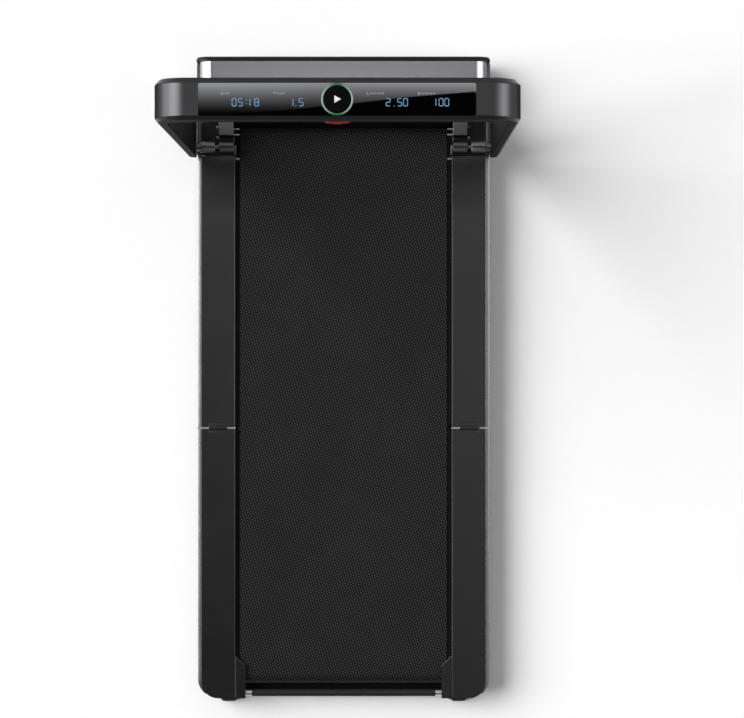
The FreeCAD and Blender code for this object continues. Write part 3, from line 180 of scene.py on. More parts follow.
def as_object(name, shape, finish):
    """Turns a shape into an object with a finish."""
    mesh = bpy.data.meshes.new(name)
    shape.to_mesh(mesh)
    shape.free()
    mesh.materials.append(finish)
    made = bpy.data.objects.new(name, mesh)
    scene.collection.objects.link(made)
    return made


# White paper: even and matte, with a faint fibre.
paper, tree, shader, place = surface("matte_white_paper", Roughness=0.9, mirror=0.1)
fibre = noise(tree, place, 40.0, 3.0)
tree.links.new(tones(tree, fibre, "#fcfcfc", "#ffffff"), shader.inputs["Base Color"])

floor_half, floor_drop = 9.0, 0.0003
sheet = bmesh.new()
bmesh.ops.create_grid(sheet, x_segments=8, y_segments=8, size=floor_half)
floor = as_object("paper_floor", sheet, paper)
floor.location.z = -floor_drop
print("floor", round(floor.dimensions.x, 1), "m wide")

# %% [markdown]
# ## Cards for the mirror images
# The console's glass mirrors a pale card above the pad, brightest at the far edge of the glass and cut
# off along a slant. A black card behind it keeps the rest of the glass dark. The shoulders mirror a
# wide pale card on each side. All of them hang in the room, out of the lens's sight, so the mirror
# images move as they should in other views.

# %% Cards
def box(low_x, high_x, low_y, high_y):
    """The corners of a rectangle."""
    return [(low_x, low_y), (high_x, low_y), (high_x, high_y), (low_x, high_y)]


def hang_card(name, corners, place, finish):
    """Hangs a flat card that shows only in mirror images."""
    flat_card = bmesh.new()
    flat_card.faces.new([flat_card.verts.new((x, y, 0)) for x, y in corners])
    held = as_object(name, flat_card, finish)
    held.location = place
    held.visible_camera = held.visible_diffuse = held.visible_shadow = False
    print(name, "hung at", place)
    return held


def card_paper(name, low, high, bend, strength, both_ways=False):
    """Lit paper whose light grows by a power from low to high, up the card or from both its edges."""
    material, tree, shader, place = surface(name)
    tree.nodes.remove(shader)
    along = add(tree, "ShaderNodeSeparateXYZ", {0: place}).outputs["Y"]
    if both_ways:
        along = maths(tree, "ABSOLUTE", along)
    grown = maths(tree, "POWER", ramp(tree, along, low, high), bend)
    power = maths(tree, "MULTIPLY", grown, strength)
    light = add(tree, "ShaderNodeEmission", {"Color": linear("#fbfcff"), "Strength": power})
    tree.links.new(light.outputs[0], tree.nodes["Material Output"].inputs["Surface"])
    return material


card_left, card_right, card_far, card_y, card_z = -0.53, 0.41, 0.05, 0.9, 3.9
slant_left, slant_right, black_near, black_rise = -0.081, 0.004, -0.10, 0.02
slanted = [(card_left, slant_left), (card_right, slant_right), (card_right, card_far), (card_left, card_far)]
hang_card("glass_card", slanted, (0.0, card_y, card_z), card_paper("lit_paper", -0.072, 0.033, 2.1, 7.0))
hang_card("black_card", box(card_left, card_right, black_near, card_far), (0.0, card_y, card_z + black_rise),
          card_paper("black_paper", 0.2, 0.3, 1.0, 0.0))
panel_half, shoulders = 1.3, (0.0, 0.5, 0.8)
for name, place, tall, strength in (("right_card", (3.45, 0.6, 3.05), 2.0, 6.0),
                                    ("left_card", (-3.4, 0.7, 1.4), 0.9, 5.6)):
    panel_paper = card_paper(name + "_paper", tall, 0.0, 1.0, strength, both_ways=True)
    panel = hang_card(name, box(-panel_half, panel_half, -tall, tall), place, panel_paper)
    panel.rotation_euler = facing(place, shoulders)

# %% [markdown]
# ## Grained finishes
# Most pieces are moulded plastic, rubber or coated metal. The mould or the blasting leaves a fine
# grain, and handling leaves a slow drift of tone and gloss. One function lays both over a piece: a fine
# noise, as relief and tone, and a wide noise for the drift.

# %% Grained finish
MM = 0.001


def drifted(tree, cloud, low, high):
    """Maps a noise, which keeps mostly between 0.3 and 0.7, onto a range."""
    return ramp(tree, cloud, 0.3, 0.7, low, high)


def tie(tree, shader, tone, gloss, height, relief, depth):
    """Ties tone, gloss and relief to a shader; the depth is in metres."""
    bumps = add(tree, "ShaderNodeBump", {"Height": height, "Strength": relief, "Distance": depth})
    tree.links.new(tone, shader.inputs["Base Color"])
    tree.links.new(gloss, shader.inputs["Roughness"])
    tree.links.new(bumps.outputs[0], shader.inputs["Normal"])


def grained(name, dark, light, grain_mm, drift_mm, rough, relief, **constants):
    """A finish with a fine grain and a slow drift; rough is its range of roughness."""
    material, tree, shader, place = surface(name, **constants)
    grain = noise(tree, place, 1 / (grain_mm * MM), 2.0)
    drift = noise(tree, place, 1 / (drift_mm * MM), 3.0)
    share = maths(tree, "MULTIPLY", maths(tree, "ADD", grain, drift), 0.5)
    tie(tree, shader, tones(tree, share, dark, light), drifted(tree, drift, *rough), grain, relief,
        grain_mm * MM * 0.2)
    return material


# ABS moulded in a spark-eroded tool: near black, with a soft sheen that follows the light.
rail_abs = grained("spark_grained_abs", "#0b0b0c", "#0e0e0f", 3.0, 90, (0.20, 0.24), 0.06, mirror=0.9)
# ABS from a plain tool: as black, but duller, with a soft line of light at its rounded edges.
black_abs = grained("satin_black_abs", "#0a0a0b", "#0e0e0f", 3.0, 60, (0.30, 0.40), 0.06, mirror=0.25)
# ABS under a soft-touch lacquer: a deep even black with hardly a mirror image, for the button.
button_abs = grained("soft_touch_black_abs", "#020202", "#030303", 2.5, 30, (0.35, 0.45), 0.02, mirror=0.06)
# Near and far sides of the bar: a matte dark grey copy of its finish, painted shade that keeps them from
# mirroring the bright room.
side_painted_shade = grained("side_faces_painted_shade", "#242426", "#2a2a2c", 2.5, 60, (0.55, 0.62), 0.04, mirror=0.02)
# Inner faces of the posts: a duller, darker copy of the bar's finish, painted shade that stays dark at a
# glancing view.
inner_painted_shade = grained("inner_faces_painted_shade", "#070708", "#0a0a0b", 2.5, 60, (0.62, 0.70), 0.05, mirror=0.1)
# ABS dyed red right through, so the key is easy to find.
key_abs = grained("red_dyed_abs", "#8a1512", "#9c1b17", 2.5, 20, (0.32, 0.42), 0.05)
# Styrene rubber for feet, cushions and tyres: dull black with a dusty bloom.
rubber = grained("moulded_black_rubber", "#131313", "#1f1f1f", 2.5, 25, (0.72, 0.88), 0.25)
# Foamed rubber sleeve on the rear bar: dark grey and matte.
sleeve_rubber = grained("foam_rubber_sleeve", "#0e0e0f", "#141415", 2.0, 40, (0.6, 0.75), 0.25, mirror=0.3)
# Zinc casting, blasted and dyed black: dark metal with a soft highlight along each barrel.
black_zinc = grained("black_zinc_casting", "#5c5c5e", "#666668", 2.5, 25, (0.30, 0.38), 0.06, Metallic=1.0)
# Steel tube under black powder coat, with the faint orange peel of baked powder.
coated_steel = grained("black_powder_coat", "#121213", "#18181a", 2.5, 80, (0.36, 0.46), 0.12)
# Black zinc of the post's knuckles, paler than the base casting: a painted highlight along the barrels.
barrel_zinc_painted_highlight = grained("black_zinc_painted_highlight", "#7a7a7c", "#868688", 2.5, 25, (0.30, 0.38), 0.04, Metallic=1.0)
# Steel with dulled zinc plating: grey, with slightly cloudy patches.
plated_steel = grained("dulled_zinc_plate", "#97989a", "#b0b1b3", 2.0, 6, (0.42, 0.50), 0.04, Metallic=1.0)
# Ground steel tube of rollers and shafts: pale and smooth.
ground_steel = grained("ground_steel", "#b4b5b6", "#cccdce", 2.0, 20, (0.22, 0.32), 0.05, Metallic=1.0)
# Painted steel of the motor: dark grey paint with a soft sheen.
motor_paint = grained("grey_motor_enamel", "#3c3f42", "#484b4e", 2.5, 30, (0.35, 0.5), 0.08)
print(len(bpy.data.materials), "materials so far")

# %% [markdown]
# ## Anodised aluminium
# The hood, the side trims, the handrail and the heat sink are aluminium. Bars are brushed before they
# are anodised, which leaves fine lines along them. Real lines are too fine to show from above, so a
# noise stretched along one axis draws them 1 to 1.5 mm wide.

# %% Aluminium finishes
def brushed(name, dark, light, line_mm, stretch, rough, **constants):
    """Anodised metal with brush lines; stretch gives how much they shrink along each axis."""
    material, tree, shader, place = surface(name, Metallic=1.0, **constants)
    along = add(tree, "ShaderNodeMapping", {"Vector": place, "Scale": stretch}).outputs[0]
    lines = noise(tree, along, 1 / (line_mm * MM), 2.0)
    drift = noise(tree, place, 12.0, 2.0)
    tie(tree, shader, tones(tree, lines, dark, light), drifted(tree, drift, *rough), lines, 0.015,
        line_mm * MM * 0.1)
    return material


# Satin grey hood: an even grey top, with white bands where its sides round over.
hood_metal = brushed("satin_anodised_hood", "#a0a0a2", "#a3a3a5", 1.5, (0.04, 1.0, 1.0), (0.20, 0.22))
# The hood's side flange, dyed darker.
flange_metal = brushed("grey_dyed_flange", "#6b6b6d", "#717173", 1.5, (1.0, 0.04, 1.0), (0.26, 0.30))
# Clear anodised trim along the deck: a silver line, whiter where its crown turns to the lamp.
trim_metal = grained("clear_anodised_trim", "#88888a", "#8c8c8e", 2.0, 60, (0.25, 0.28), 0.0, Metallic=1.0)
# Bare metal of the plates in the seam and the ends of the rear bar: brighter than the trim.
bare_metal = grained("bare_aluminium", "#d0d0d2", "#d8d8da", 2.0, 20, (0.30, 0.36), 0.0, Metallic=1.0)
# Dark grey anodised handrail: black in the dim room, silver where its shoulder turns to the lamp. The
# dye also dims glancing mirror images, so the outline of the shoulder stays dark.
rail_metal = brushed("graphite_anodised_rail", "#474748", "#4a4a4b", 1.5, (0.05, 1.0, 0.05), (0.33, 0.36),
                     Specular_Tint=linear("#969696"))
# The same bar on the slanted bevels of its long edges: a darker copy of its finish, painted shade where they
# mirror the dim room.
bevel_painted_shade = brushed("bevel_painted_shade_finish", "#333334", "#373738", 1.5, (0.05, 1.0, 0.05), (0.30, 0.34))
# Milled aluminium of the heat sink: pale, with lines along its fins.
sink_metal = brushed("milled_aluminium", "#b8babc", "#cacccd", 1.0, (1.0, 0.05, 1.0), (0.35, 0.45))
print("aluminium:", hood_metal.name, trim_metal.name, rail_metal.name, sink_metal.name)

# %% [markdown]
# ## The belt's rubber
# A walking belt is woven polyester with a PVC face, embossed with small raised lozenges that keep shoes
# from slipping. They are about 6.6 mm apart, in rows that run slantwise over the belt. Three sets of
# waves, 60 degrees apart, add up to the relief and to the paler worn tops.

# %% Embossed belt
# PVC face: nearly black in the hollows, with paler worn tops that are a little glossier.
belt_pvc, tree, shader, place = surface("embossed_pvc_belt", mirror=0.12)
wave_mm = 5.7
rows = []
for turn in (-45, 15, 75):
    step = Vector((cos(radians(turn)), sin(radians(turn)), 0)) / (wave_mm * MM)
    along = add(tree, "ShaderNodeVectorMath", {0: place, 1: step * 2 * pi}, operation="DOT_PRODUCT")
    rows.append(maths(tree, "COSINE", along.outputs["Value"]))
total = maths(tree, "ADD", maths(tree, "ADD", rows[0], rows[1]), rows[2])
tops = ramp(tree, total, -0.4, 2.5)
scuffs = noise(tree, place, 9.0, 5.0)
lift = maths(tree, "MULTIPLY", tops, drifted(tree, scuffs, 0.85, 1.1))
gloss = ramp(tree, tops, 0.0, 1.0, 0.65, 0.45)
tie(tree, shader, tones(tree, lift, "#0a0a0a", "#3d3d3d"), gloss, tops, 0.5, 0.4 * MM)
print("belt pattern repeats every", round(wave_mm / cos(radians(30)), 2), "mm")

# %% [markdown]
# ## Glass, lights and boards
# The console's face is clear glass over black print, so it is black with sharp mirror images. Behind
# it, light comes through small windows: blue-white digits and signs, and a pale green ring round the
# button. The deck boards are wood fibre with a black face, and the circuit boards have green lacquer.

# %% Glass, lights and boards
# Float glass printed black at the back: the eye sees the room in it.
display_glass = grained("black_backed_glass", "#020203", "#040405", 4.0, 200, (0.005, 0.012), 0.0)


def lit(name, hex_colour, low, high, patch_mm):
    """A small lit window: its strength drifts a little, as light does behind a diffuser."""
    material, tree, shader, place = surface(name, Roughness=0.3, Base_Color=linear("#101010"),
                                            Emission_Color=linear(hex_colour))
    patch = noise(tree, place, 1 / (patch_mm * MM), 1.0)
    tree.links.new(drifted(tree, patch, low, high), shader.inputs["Emission Strength"])
    return material


# Blue-white LED light through the digit windows.
digit_light = lit("blue_white_led", "#7cabd8", 0.62, 0.82, 12)
# Greyer light through the small signs over the digits.
sign_light = lit("dim_blue_led", "#94a2b1", 0.8, 1.0, 5)
# Green light through the frosted ring: deep green, paler towards its left and right ends, where a painted
# highlight whitens it.
ring_glow = lit("frosted_green_light", "#d7fff0", 0.42, 0.5, 26)
tree = ring_glow.node_tree
place = add(tree, "ShaderNodeTexCoord", {}).outputs["Object"]
off = maths(tree, "ABSOLUTE", add(tree, "ShaderNodeSeparateXYZ", {0: place}).outputs["X"])
hue_with_painted_highlight = tones(tree, ramp(tree, off, 6 * MM, 29 * MM), "#3d9468", "#d9f2e6")
tree.links.new(hue_with_painted_highlight, tree.nodes["Principled BSDF"].inputs["Emission Color"])
# White light through the start sign on the button.
start_light = lit("white_led", "#f4f6f4", 0.75, 0.95, 8)
# Wood fibre board with a black resin face: dull and dark beside the belt. The rear tray takes the same dull
# black, a painted shade for the gap behind the belt.
fibre_board_and_tray_shade = grained("phenolic_fibreboard_and_tray_shade", "#060606", "#090909", 3.0, 120, (0.6, 0.7), 0.05,
                      mirror=0.1)
# Circuit board: green lacquer with a soft gloss.
green_board = grained("lacquered_circuit_board", "#0f3d22", "#1a5a33", 2.5, 8, (0.3, 0.45), 0.1)
print(len(bpy.data.materials), "materials in all")

# %% [markdown]
# ## Dressing the imported solids
# Every imported solid gets the finish of its real material, except the rear tray, whose dull black is a
# painted shade. Real edges are never knife sharp, and a rounded edge catches a line of light, so the blocky
# solids get a small bevel. Their corners are first welded, because the imported mesh is split along its
# edges.

# %% Finishes and soft edges
finishes = {
    coated_steel: ["front_side_members", "front_cross_members", "base_pan", "wheel_brackets",
                   "rear_side_members", "rear_cross_members", "idler_brackets", "fold_leaves_front",
                   "fold_leaves_rear"],
    rubber: ["front_cushions", "rear_cushions", "drive_belt", "front_feet", "rear_feet",
             "transport_wheel_left", "transport_wheel_right"],
    # The rear tray's dull black is painted shade for the gap behind the belt.
    fibre_board_and_tray_shade: ["front_deck_board", "rear_deck_board", "rear_tray"],
    belt_pvc: ["walking_belt_front", "walking_belt_rear"],
    black_zinc: ["hinge_bases", "hinge_barrels"],
    plated_steel: ["fold_pins", "hinge_fasteners", "tension_screws", "rear_bar_ends"],
    rail_abs: ["front_rail_covers", "rear_rail_covers", "roller_guards"],
    trim_metal: ["front_side_trims", "rear_side_trims"],
    motor_paint: ["drive_bearings", "motor_housing", "drive_pulley", "motor_pulley", "flywheel"],
    black_abs: ["motor_cradle", "front_cap", "belt_guard", "power_inlet", "switch_bezel", "power_switch",
                "console_bottom_cover"],
    hood_metal: ["motor_hood"],
    green_board: ["control_board", "display_board"],
    sink_metal: ["heat_sink"],
    sleeve_rubber: ["rear_bar"],
    ground_steel: ["idler_shaft", "drive_roller", "rotor_shaft", "idler_roller"],
    rail_metal: ["handrail_post_left", "handrail_post_right", "console_shell"],
    display_glass: ["display_glass"],
    ring_glow: ["light_ring"],
    button_abs: ["start_button"],
    key_abs: ["safety_key"],
}
soft_edges = {"front_rail_covers": 0.4, "rear_rail_covers": 0.4, "roller_guards": 1.0, "belt_guard": 1.2,
              "safety_key": 1.0, "front_side_members": 1.5, "rear_side_members": 1.5,
              "front_cross_members": 1.0, "rear_cross_members": 1.0, "base_pan": 0.5, "power_inlet": 0.4,
              "switch_bezel": 0.4, "power_switch": 0.6, "console_bottom_cover": 0.5, "heat_sink": 0.3}
for finish, names in finishes.items():
    for name in names:
        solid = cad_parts[name]
        solid.data.materials.clear()
        solid.data.materials.append(finish)
for name, width in soft_edges.items():
    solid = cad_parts[name]
    weld = solid.modifiers.new("weld", "WELD")
    weld.merge_threshold = 0.005 * MM
    bevel = solid.modifiers.new("soft_edges", "BEVEL")
    bevel.width = width * MM
    bevel.segments = 2
    bevel.limit_method = "ANGLE"
    bevel.angle_limit = radians(40)
left_out = set(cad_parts) - {name for names in finishes.values() for name in names}
print("dressed all but", left_out or "none", "and softened", len(soft_edges))

# %% [markdown]
# ## Shaping tools
# Three ways of making cover the finer pieces. A turned shape is a profile that goes round an axis. A
# lofted shape joins a row of sections. A pressed shape is a flat outline given thickness. They are
# drawn in millimetres and scaled to metres at the end.

# %% Turned, lofted and pressed shapes
def even(start, end, steps):
    """Evenly spaced values, from start to end."""
    return [start + (end - start) * i / steps for i in range(steps + 1)]


ORDERS = {"x": (1, 2, 0), "y": (2, 0, 1), "z": (0, 1, 2), "XY": (0, 1, 2), "XZ": (0, 2, 1), "YZ": (1, 2, 0)}


def laid(order, *values):
    """A point whose values lie along the axes in an order: two across, and one along."""
    point = Vector()
    for axis, value in zip(ORDERS[order], values):
        point[axis] = value
    return point


def turned(shape, axis, centre, profile, steps=48):
    """Turns (radius, place along the axis) points about an axis through the centre."""
    rings = []
    for count, (radius, reach) in enumerate(profile):
        if count and (radius, reach) == profile[0]:
            rings.append(rings[0])
            continue
        turns = even(0, 2 * pi, steps)[:-1] if radius else [0]
        points = [laid(axis, radius * cos(t), radius * sin(t), reach) for t in turns]
        rings.append([shape.verts.new(Vector(centre) + point) for point in points])
    for low, high in zip(rings, rings[1:]):
        for i in range(steps):
            corners = (low[i % len(low)], low[(i + 1) % len(low)],
                       high[(i + 1) % len(high)], high[i % len(high)])
            shape.faces.new(list(dict.fromkeys(corners)))


def lofted(shape, sections, closed=False):
    """Joins a row of sections with the same number of points; a closed row joins its ends."""
    rows = [[shape.verts.new(point) for point in section] for section in sections]
    for low, high in list(zip(rows, rows[1:])) + ([(rows[-1], rows[0])] if closed else []):
        for i in range(len(low)):
            shape.faces.new((low[i - 1], low[i], high[i], high[i - 1]))
    if not closed:
        shape.faces.new(rows[0])
        shape.faces.new(rows[-1])


def pressed(shape, plane, outline, low, high):
    """Gives a flat outline thickness, from low to high."""
    lofted(shape, [[laid(plane, u, v, level) for u, v in outline] for level in (low, high)])


print("axes to turn about and planes to press from:", list(ORDERS))

# %% [markdown]
# Outlines and profiles come from arcs, boxes with round corners, and rods. A profile can be mirrored,
# since most pieces come in pairs.

# %% Outlines and profiles
def arc(centre, radius, start, end, steps):
    """Points on an arc, from one angle to another."""
    turns = [radians(turn) for turn in even(start, end, steps)]
    return [(centre[0] + radius * cos(t), centre[1] + radius * sin(t)) for t in turns]


def rounded_box(low, high, radius, steps=6):
    """The outline of a rectangle with round corners."""
    (x0, y0), (x1, y1) = [c + radius for c in low], [c - radius for c in high]
    middles = zip((0, 90, 180, 270), ((x1, y1), (x0, y1), (x0, y0), (x1, y0)))
    return [point for turn, middle in middles for point in arc(middle, radius, turn, turn + 90, steps)]


def rod(radius, low, high):
    """The profile of a plain rod."""
    return [(0, low), (radius, low), (radius, high), (0, high)]


def mirrored(profile, side):
    """A profile that points to the left (-1) or to the right (1)."""
    return [(radius, reach * side) for radius, reach in profile]


print("a round box has", len(rounded_box((0, 0), (2, 2), 1)), "points")

# %% [markdown]
# A shape becomes a piece once its sharp edges are rounded. The piece is smoothed, gets its finish, and
# is fixed to the body that it moves with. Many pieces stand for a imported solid.

# %% From shape to piece
def softened(shape, edge, steps=2, over=25):
    """Rounds every edge that is sharper than an angle."""
    bmesh.ops.recalc_face_normals(shape, faces=shape.faces)
    sharp = [e for e in shape.edges if len(e.link_faces) == 2 and e.calc_face_angle() > radians(over)]
    bmesh.ops.bevel(shape, geom=sharp, offset=edge, segments=steps, profile=0.5, affect="EDGES",
                    clamp_overlap=True)


crease = radians(30)


def as_mesh(name, shape, finish):
    """Turns a shape in millimetres into an object in metres, smooth but for its sharp edges."""
    bmesh.ops.recalc_face_normals(shape, faces=shape.faces)
    bmesh.ops.scale(shape, vec=(MM, MM, MM), verts=shape.verts)
    made = as_object(name, shape, finish)
    made.data.shade_smooth()
    made.data.set_sharp_from_angle(angle=crease)
    return made


def piece(name, shape, finish, body, slot, *stands_for):
    """Finishes a piece, with its large faces shaded flat; it rides on a body and may stand for solids."""
    made = as_mesh(name, shape, finish)
    normals = made.modifiers.new("even_normals", "WEIGHTED_NORMAL")
    normals.keep_sharp = True
    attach(made, body)
    if stands_for:
        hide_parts(*stands_for)
    print(name, len(made.data.polygons), "faces on", body)
    return made


print("edges sharper than", round(degrees(crease)), "degrees stay sharp")

# %% [markdown]
# ## The walking belt
# The belt is one endless loop round two rollers, which the imported solids have as two halves. Here one loop
# stands for both. Its sections are close near the fold, where the front half meets the rear half.

# %% Walking belt
seam_y, front_roller_y, rear_roller_y, roller_z, wrap = -104.0, 620.0, -659.7, 42.2, 22.3
close_half = 48
run = even(rear_roller_y, seam_y - close_half, 14)[:-1]
run += even(seam_y - close_half, seam_y + close_half, 24)
run += even(seam_y + close_half, front_roller_y, 18)[1:-1]


def round_roller(middle_y, start, end):
    """The belt's way round a roller: each place, and its outward direction."""
    return [(y, z, (y - middle_y) / wrap, (z - roller_z) / wrap)
            for y, z in arc((middle_y, roller_z), wrap, start, end, 18)]


line = [(y, roller_z + wrap, 0.0, 1.0) for y in run]
line += round_roller(front_roller_y, 90, -90)
line += [(y, roller_z - wrap, 0.0, -1.0) for y in reversed(run[1:])]
line += round_roller(rear_roller_y, -90, -270)[:-1]
belt_half, belt_thick, belt_round = 233.7, 2.0, 0.5
belt_flat, belt_core = belt_half - belt_round, belt_thick - belt_round
belt_edge = [(-belt_half, belt_round), (-belt_flat, 0), (belt_flat, 0), (belt_half, belt_round),
             (belt_half, belt_core), (belt_flat, belt_thick), (-belt_flat, belt_thick),
             (-belt_half, belt_core)]
loop = bmesh.new()
lofted(loop, [[(x, y - out_y * deep, z - out_z * deep) for x, deep in belt_edge]
              for y, z, out_y, out_z in line], closed=True)
belt = as_mesh("walking_belt", loop, belt_pvc)
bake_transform(belt)
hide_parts("walking_belt_front", "walking_belt_rear")
print("belt", len(belt.data.polygons), "faces")

# %% [markdown]
# ## The motor hood
# The hood is one aluminium sheet: flat on top, rounded over to a sloped shoulder at both sides, and
# open underneath, with a low flange along each foot. Its outline has the bend in many small steps, so
# the white bands on its sides run clean.

# %% Motor hood
hood_x, flange_x, hood_top, flange_top, hood_foot = 320.7, 330.7, 120.0, 72.0, 20.0
hood_near, hood_far, hood_wall, hood_bend = 590.0, 717.4, 2.5, 42.0
shoulder_run, shoulder_drop = 16.3, 12.7
shoulder_slope = degrees(atan2(shoulder_drop, shoulder_run))


def hood_line(inset, feet):
    """The hood's section from its left foot over the top to its right foot."""
    bend = hood_bend - inset
    middle = hood_x - inset - shoulder_run - bend * tan(radians(shoulder_slope / 2))
    over = arc((-middle, hood_top - inset - bend), bend, 90 + shoulder_slope, 90, 20)
    left = feet + [(inset - hood_x, hood_top - inset - shoulder_drop)] + over
    return left + [(-x, z) for x, z in reversed(left)]


outside = hood_line(0, [(-flange_x, hood_foot), (-flange_x, flange_top), (-hood_x, flange_top)])
inside = hood_line(hood_wall, [(hood_wall - hood_x, hood_foot)])
bent_sheet = bmesh.new()
pressed(bent_sheet, "XZ", outside + inside[::-1], hood_near, hood_far)
softened(bent_sheet, edge=0.7)
for face in bent_sheet.faces:
    face.material_index = 1 if abs(face.calc_center_median().x) > hood_x + 1 else 0
hood = piece("hood_shell", bent_sheet, hood_metal, "front_deck", "hood_aluminium", "motor_hood")
hood.data.materials.append(flange_metal)

# %% [markdown]
# ## The side trims
# An aluminium strip runs along each side of the deck. Its top is crowned, so it goes from white to grey
# across its width. One section is lofted along the side, and round the corner at the rear.

# %% Side trims
deck_half, trim_wide, deck_top, seam_gap = 328.7, 8.0, 72.0, 2.0
crown_start, crown_end = tan(radians(5.5)), tan(radians(12))
crown = [(out, deck_top - crown_start * out - (crown_end - crown_start) * out * out / (2 * trim_wide))
         for out in even(0, trim_wide, 10)]
trim_line = [(trim_wide, hood_foot)] + [(trim_wide - out, z) for out, z in crown] + [(0, hood_foot)]
rail_front, rail_rear, corner_bend, corner_turn = 509.7, -713.7, 46.0, 52.5
bend_y = rail_rear + corner_bend
front_strip = [(0, 0, seam_y + seam_gap), (0, 0, rail_front)]
rear_strip = [(0, 0, y) for y in even(seam_y - seam_gap, bend_y, 8)[:-1]]
rear_strip += [(turn, corner_bend, bend_y) for turn in even(0, corner_turn, 14)]
strips = (("front_trim", front_strip, "front_deck"), ("rear_trim", rear_strip, "rear_deck"))
for name, stations, body in strips:
    strip = bmesh.new()
    for side in (-1, 1):
        sections = []
        for turn, bend, y in stations:
            out_x, out_y = cos(radians(turn)), -sin(radians(turn))
            reaches = [(bend - inward, z) for inward, z in trim_line]
            sections.append([((deck_half - bend + out_x * reach) * side, y + out_y * reach, z)
                             for reach, z in reaches])
        lofted(strip, sections)
    softened(strip, edge=0.5, over=60)
    piece(name, strip, trim_metal, body, "trim_aluminium", name.replace("_", "_side_") + "s")

# %% [markdown]
# ## The handrail
# Two posts and the console between them read as one bent bar. Its top is flat with a wide bevel along
# both edges, and its shoulders turn down in one round bend.

# %% Handrail bar
near_y, far_y, near_bevel, far_bevel = 505.0, 587.4, 8.0, 10.4
post_out, post_in, rail_top, rail_under, post_foot = 352.5, 329.9, 900.0, 862.0, 80.0
bend_x, bend_out, bend_in, foot_cut = 289.5, 63.0, 40.4, 10.0
foot_top, low_out, low_in = post_foot + foot_cut, rail_top - bend_out, rail_under - bend_in
half = [((post_out - foot_cut, post_foot), (post_in, post_foot))]
half += [((post_out, out_z), (post_in, in_z))
         for out_z, in_z in zip(even(foot_top, low_out, 6)[:-1], even(foot_top, low_in, 6)[:-1])]
half += zip(arc((bend_x, low_out), bend_out, 0, 90, 24), arc((bend_x, low_in), bend_in, 0, 90, 24))
half += [((x, rail_top), (x, rail_under)) for x in even(bend_x, 0, 4)[1:]]
stations = half + [((-ox, oz), (-ix, iz)) for (ox, oz), (ix, iz) in half[-2::-1]]


def rail_section(outer, inner):
    """One section of the bar: flat outside, bevelled at the near and the far edge."""
    outer, inner = Vector(outer), Vector(inner)
    thick = (inner - outer).length
    spots = [(near_y + near_bevel, 0), (far_y - far_bevel, 0), (far_y, far_bevel), (far_y, thick),
             (near_y, thick), (near_y, near_bevel)]
    places = [(y, outer + (inner - outer) * (deep / thick)) for y, deep in spots]
    return [(place.x, y, place.y) for y, place in places]


bar = bmesh.new()
lofted(bar, [rail_section(*station) for station in stations])
bar.faces.ensure_lookup_table()
# The faces round a section, in turn: bevel, outside, bevel, far side, inside and near side.
# The outside keeps the metal; the bevels, the sides and the inside take darker copies of it as painted shade.
painted_shade_by_face = (1, 0, 1, 2, 3, 2)
for count, face in enumerate(bar.faces[:-2]):
    face.material_index = painted_shade_by_face[count % len(painted_shade_by_face)]
softened(bar, edge=1.4, steps=3)
handrail_bar = piece("handrail_bar", bar, rail_metal, "handrail", "handrail_aluminium",
                     "handrail_post_left", "handrail_post_right", "console_shell")
for finish in (bevel_painted_shade, side_painted_shade, inner_painted_shade):
    handrail_bar.data.materials.append(finish)

# %% [markdown]
# A boolean cuts pockets into the bar: a shallow one for the glass, a round one for the ring and the
# button, and a small bore for the key's stud.

# %% Pockets in the handrail
button_y, key_z, glass_x, glass_near, glass_far, glass_r = 545.0, 875.0, 264.5, 513.9, 576.1, 4.0
glass_floor, clear_top, play = 897.5, 905, 0.2
ring_room = rod(radius=30.5, low=880, high=897.0)
stud_room = rod(radius=5.4, low=500, high=511)
glass_room = rounded_box((-glass_x - play, glass_near - play), (glass_x + play, glass_far + play),
                         glass_r + play)
pockets = bmesh.new()
pressed(pockets, "XY", glass_room, glass_floor, clear_top)
turned(pockets, "z", (0, button_y, 0), ring_room, steps=64)
turned(pockets, "y", (0, 0, key_z), stud_room, steps=32)
cutter = as_mesh("pockets", pockets, rail_metal)
handrail_bar.modifiers["even_normals"].show_viewport = False
carve = handrail_bar.modifiers.new("pockets", "BOOLEAN")
carve.operation = "DIFFERENCE"
carve.object = cutter
carve.solver = "EXACT"
carve.use_self = True
carved = bpy.data.meshes.new_from_object(handrail_bar.evaluated_get(bpy.context.evaluated_depsgraph_get()))
handrail_bar.modifiers.remove(carve)
handrail_bar.data = carved
carved.shade_smooth()
carved.set_sharp_from_angle(angle=crease)
handrail_bar.modifiers["even_normals"].show_viewport = True
bpy.data.objects.remove(cutter)
print("handrail with pockets", len(carved.polygons), "faces")

# %% [markdown]
# ## The glass and what shines through it
# The glass is a plate with small round corners and a hole for the ring. Its top and its underside are
# two faces each, which meet on a line through the middle of the hole.

# %% Console glass
glass_low, glass_high, hole_r, hole_steps = 897.6, 900.1, 30.4, 64
corners = rounded_box((-glass_x, glass_near), (glass_x, glass_far), glass_r, steps=8)
quarter = len(corners) // 4
edge_line = [(0, glass_near)] + corners[3 * quarter:] + corners[:quarter] + [(0, glass_far)]
edge_line += corners[quarter:3 * quarter]
half_way = 2 * quarter + 1
hole_line = arc((0, button_y), hole_r, -90, 270, hole_steps)[:-1]
plate = bmesh.new()
levels = []
for level in (glass_low, glass_high):
    rim = [plate.verts.new((x, y, level)) for x, y in edge_line]
    hole = [plate.verts.new((x, y, level)) for x, y in hole_line]
    plate.faces.new(rim[:half_way + 1] + hole[hole_steps // 2::-1])
    plate.faces.new(rim[half_way:] + [rim[0], hole[0]] + hole[:hole_steps // 2 - 1:-1])
    levels.append((rim, hole))
for low, high in zip(*levels):
    for i in range(len(low)):
        plate.faces.new((low[i - 1], low[i], high[i], high[i - 1]))
softened(plate, edge=0.3, over=60)
piece("console_glass", plate, display_glass, "handrail", "display_glass", "display_glass")

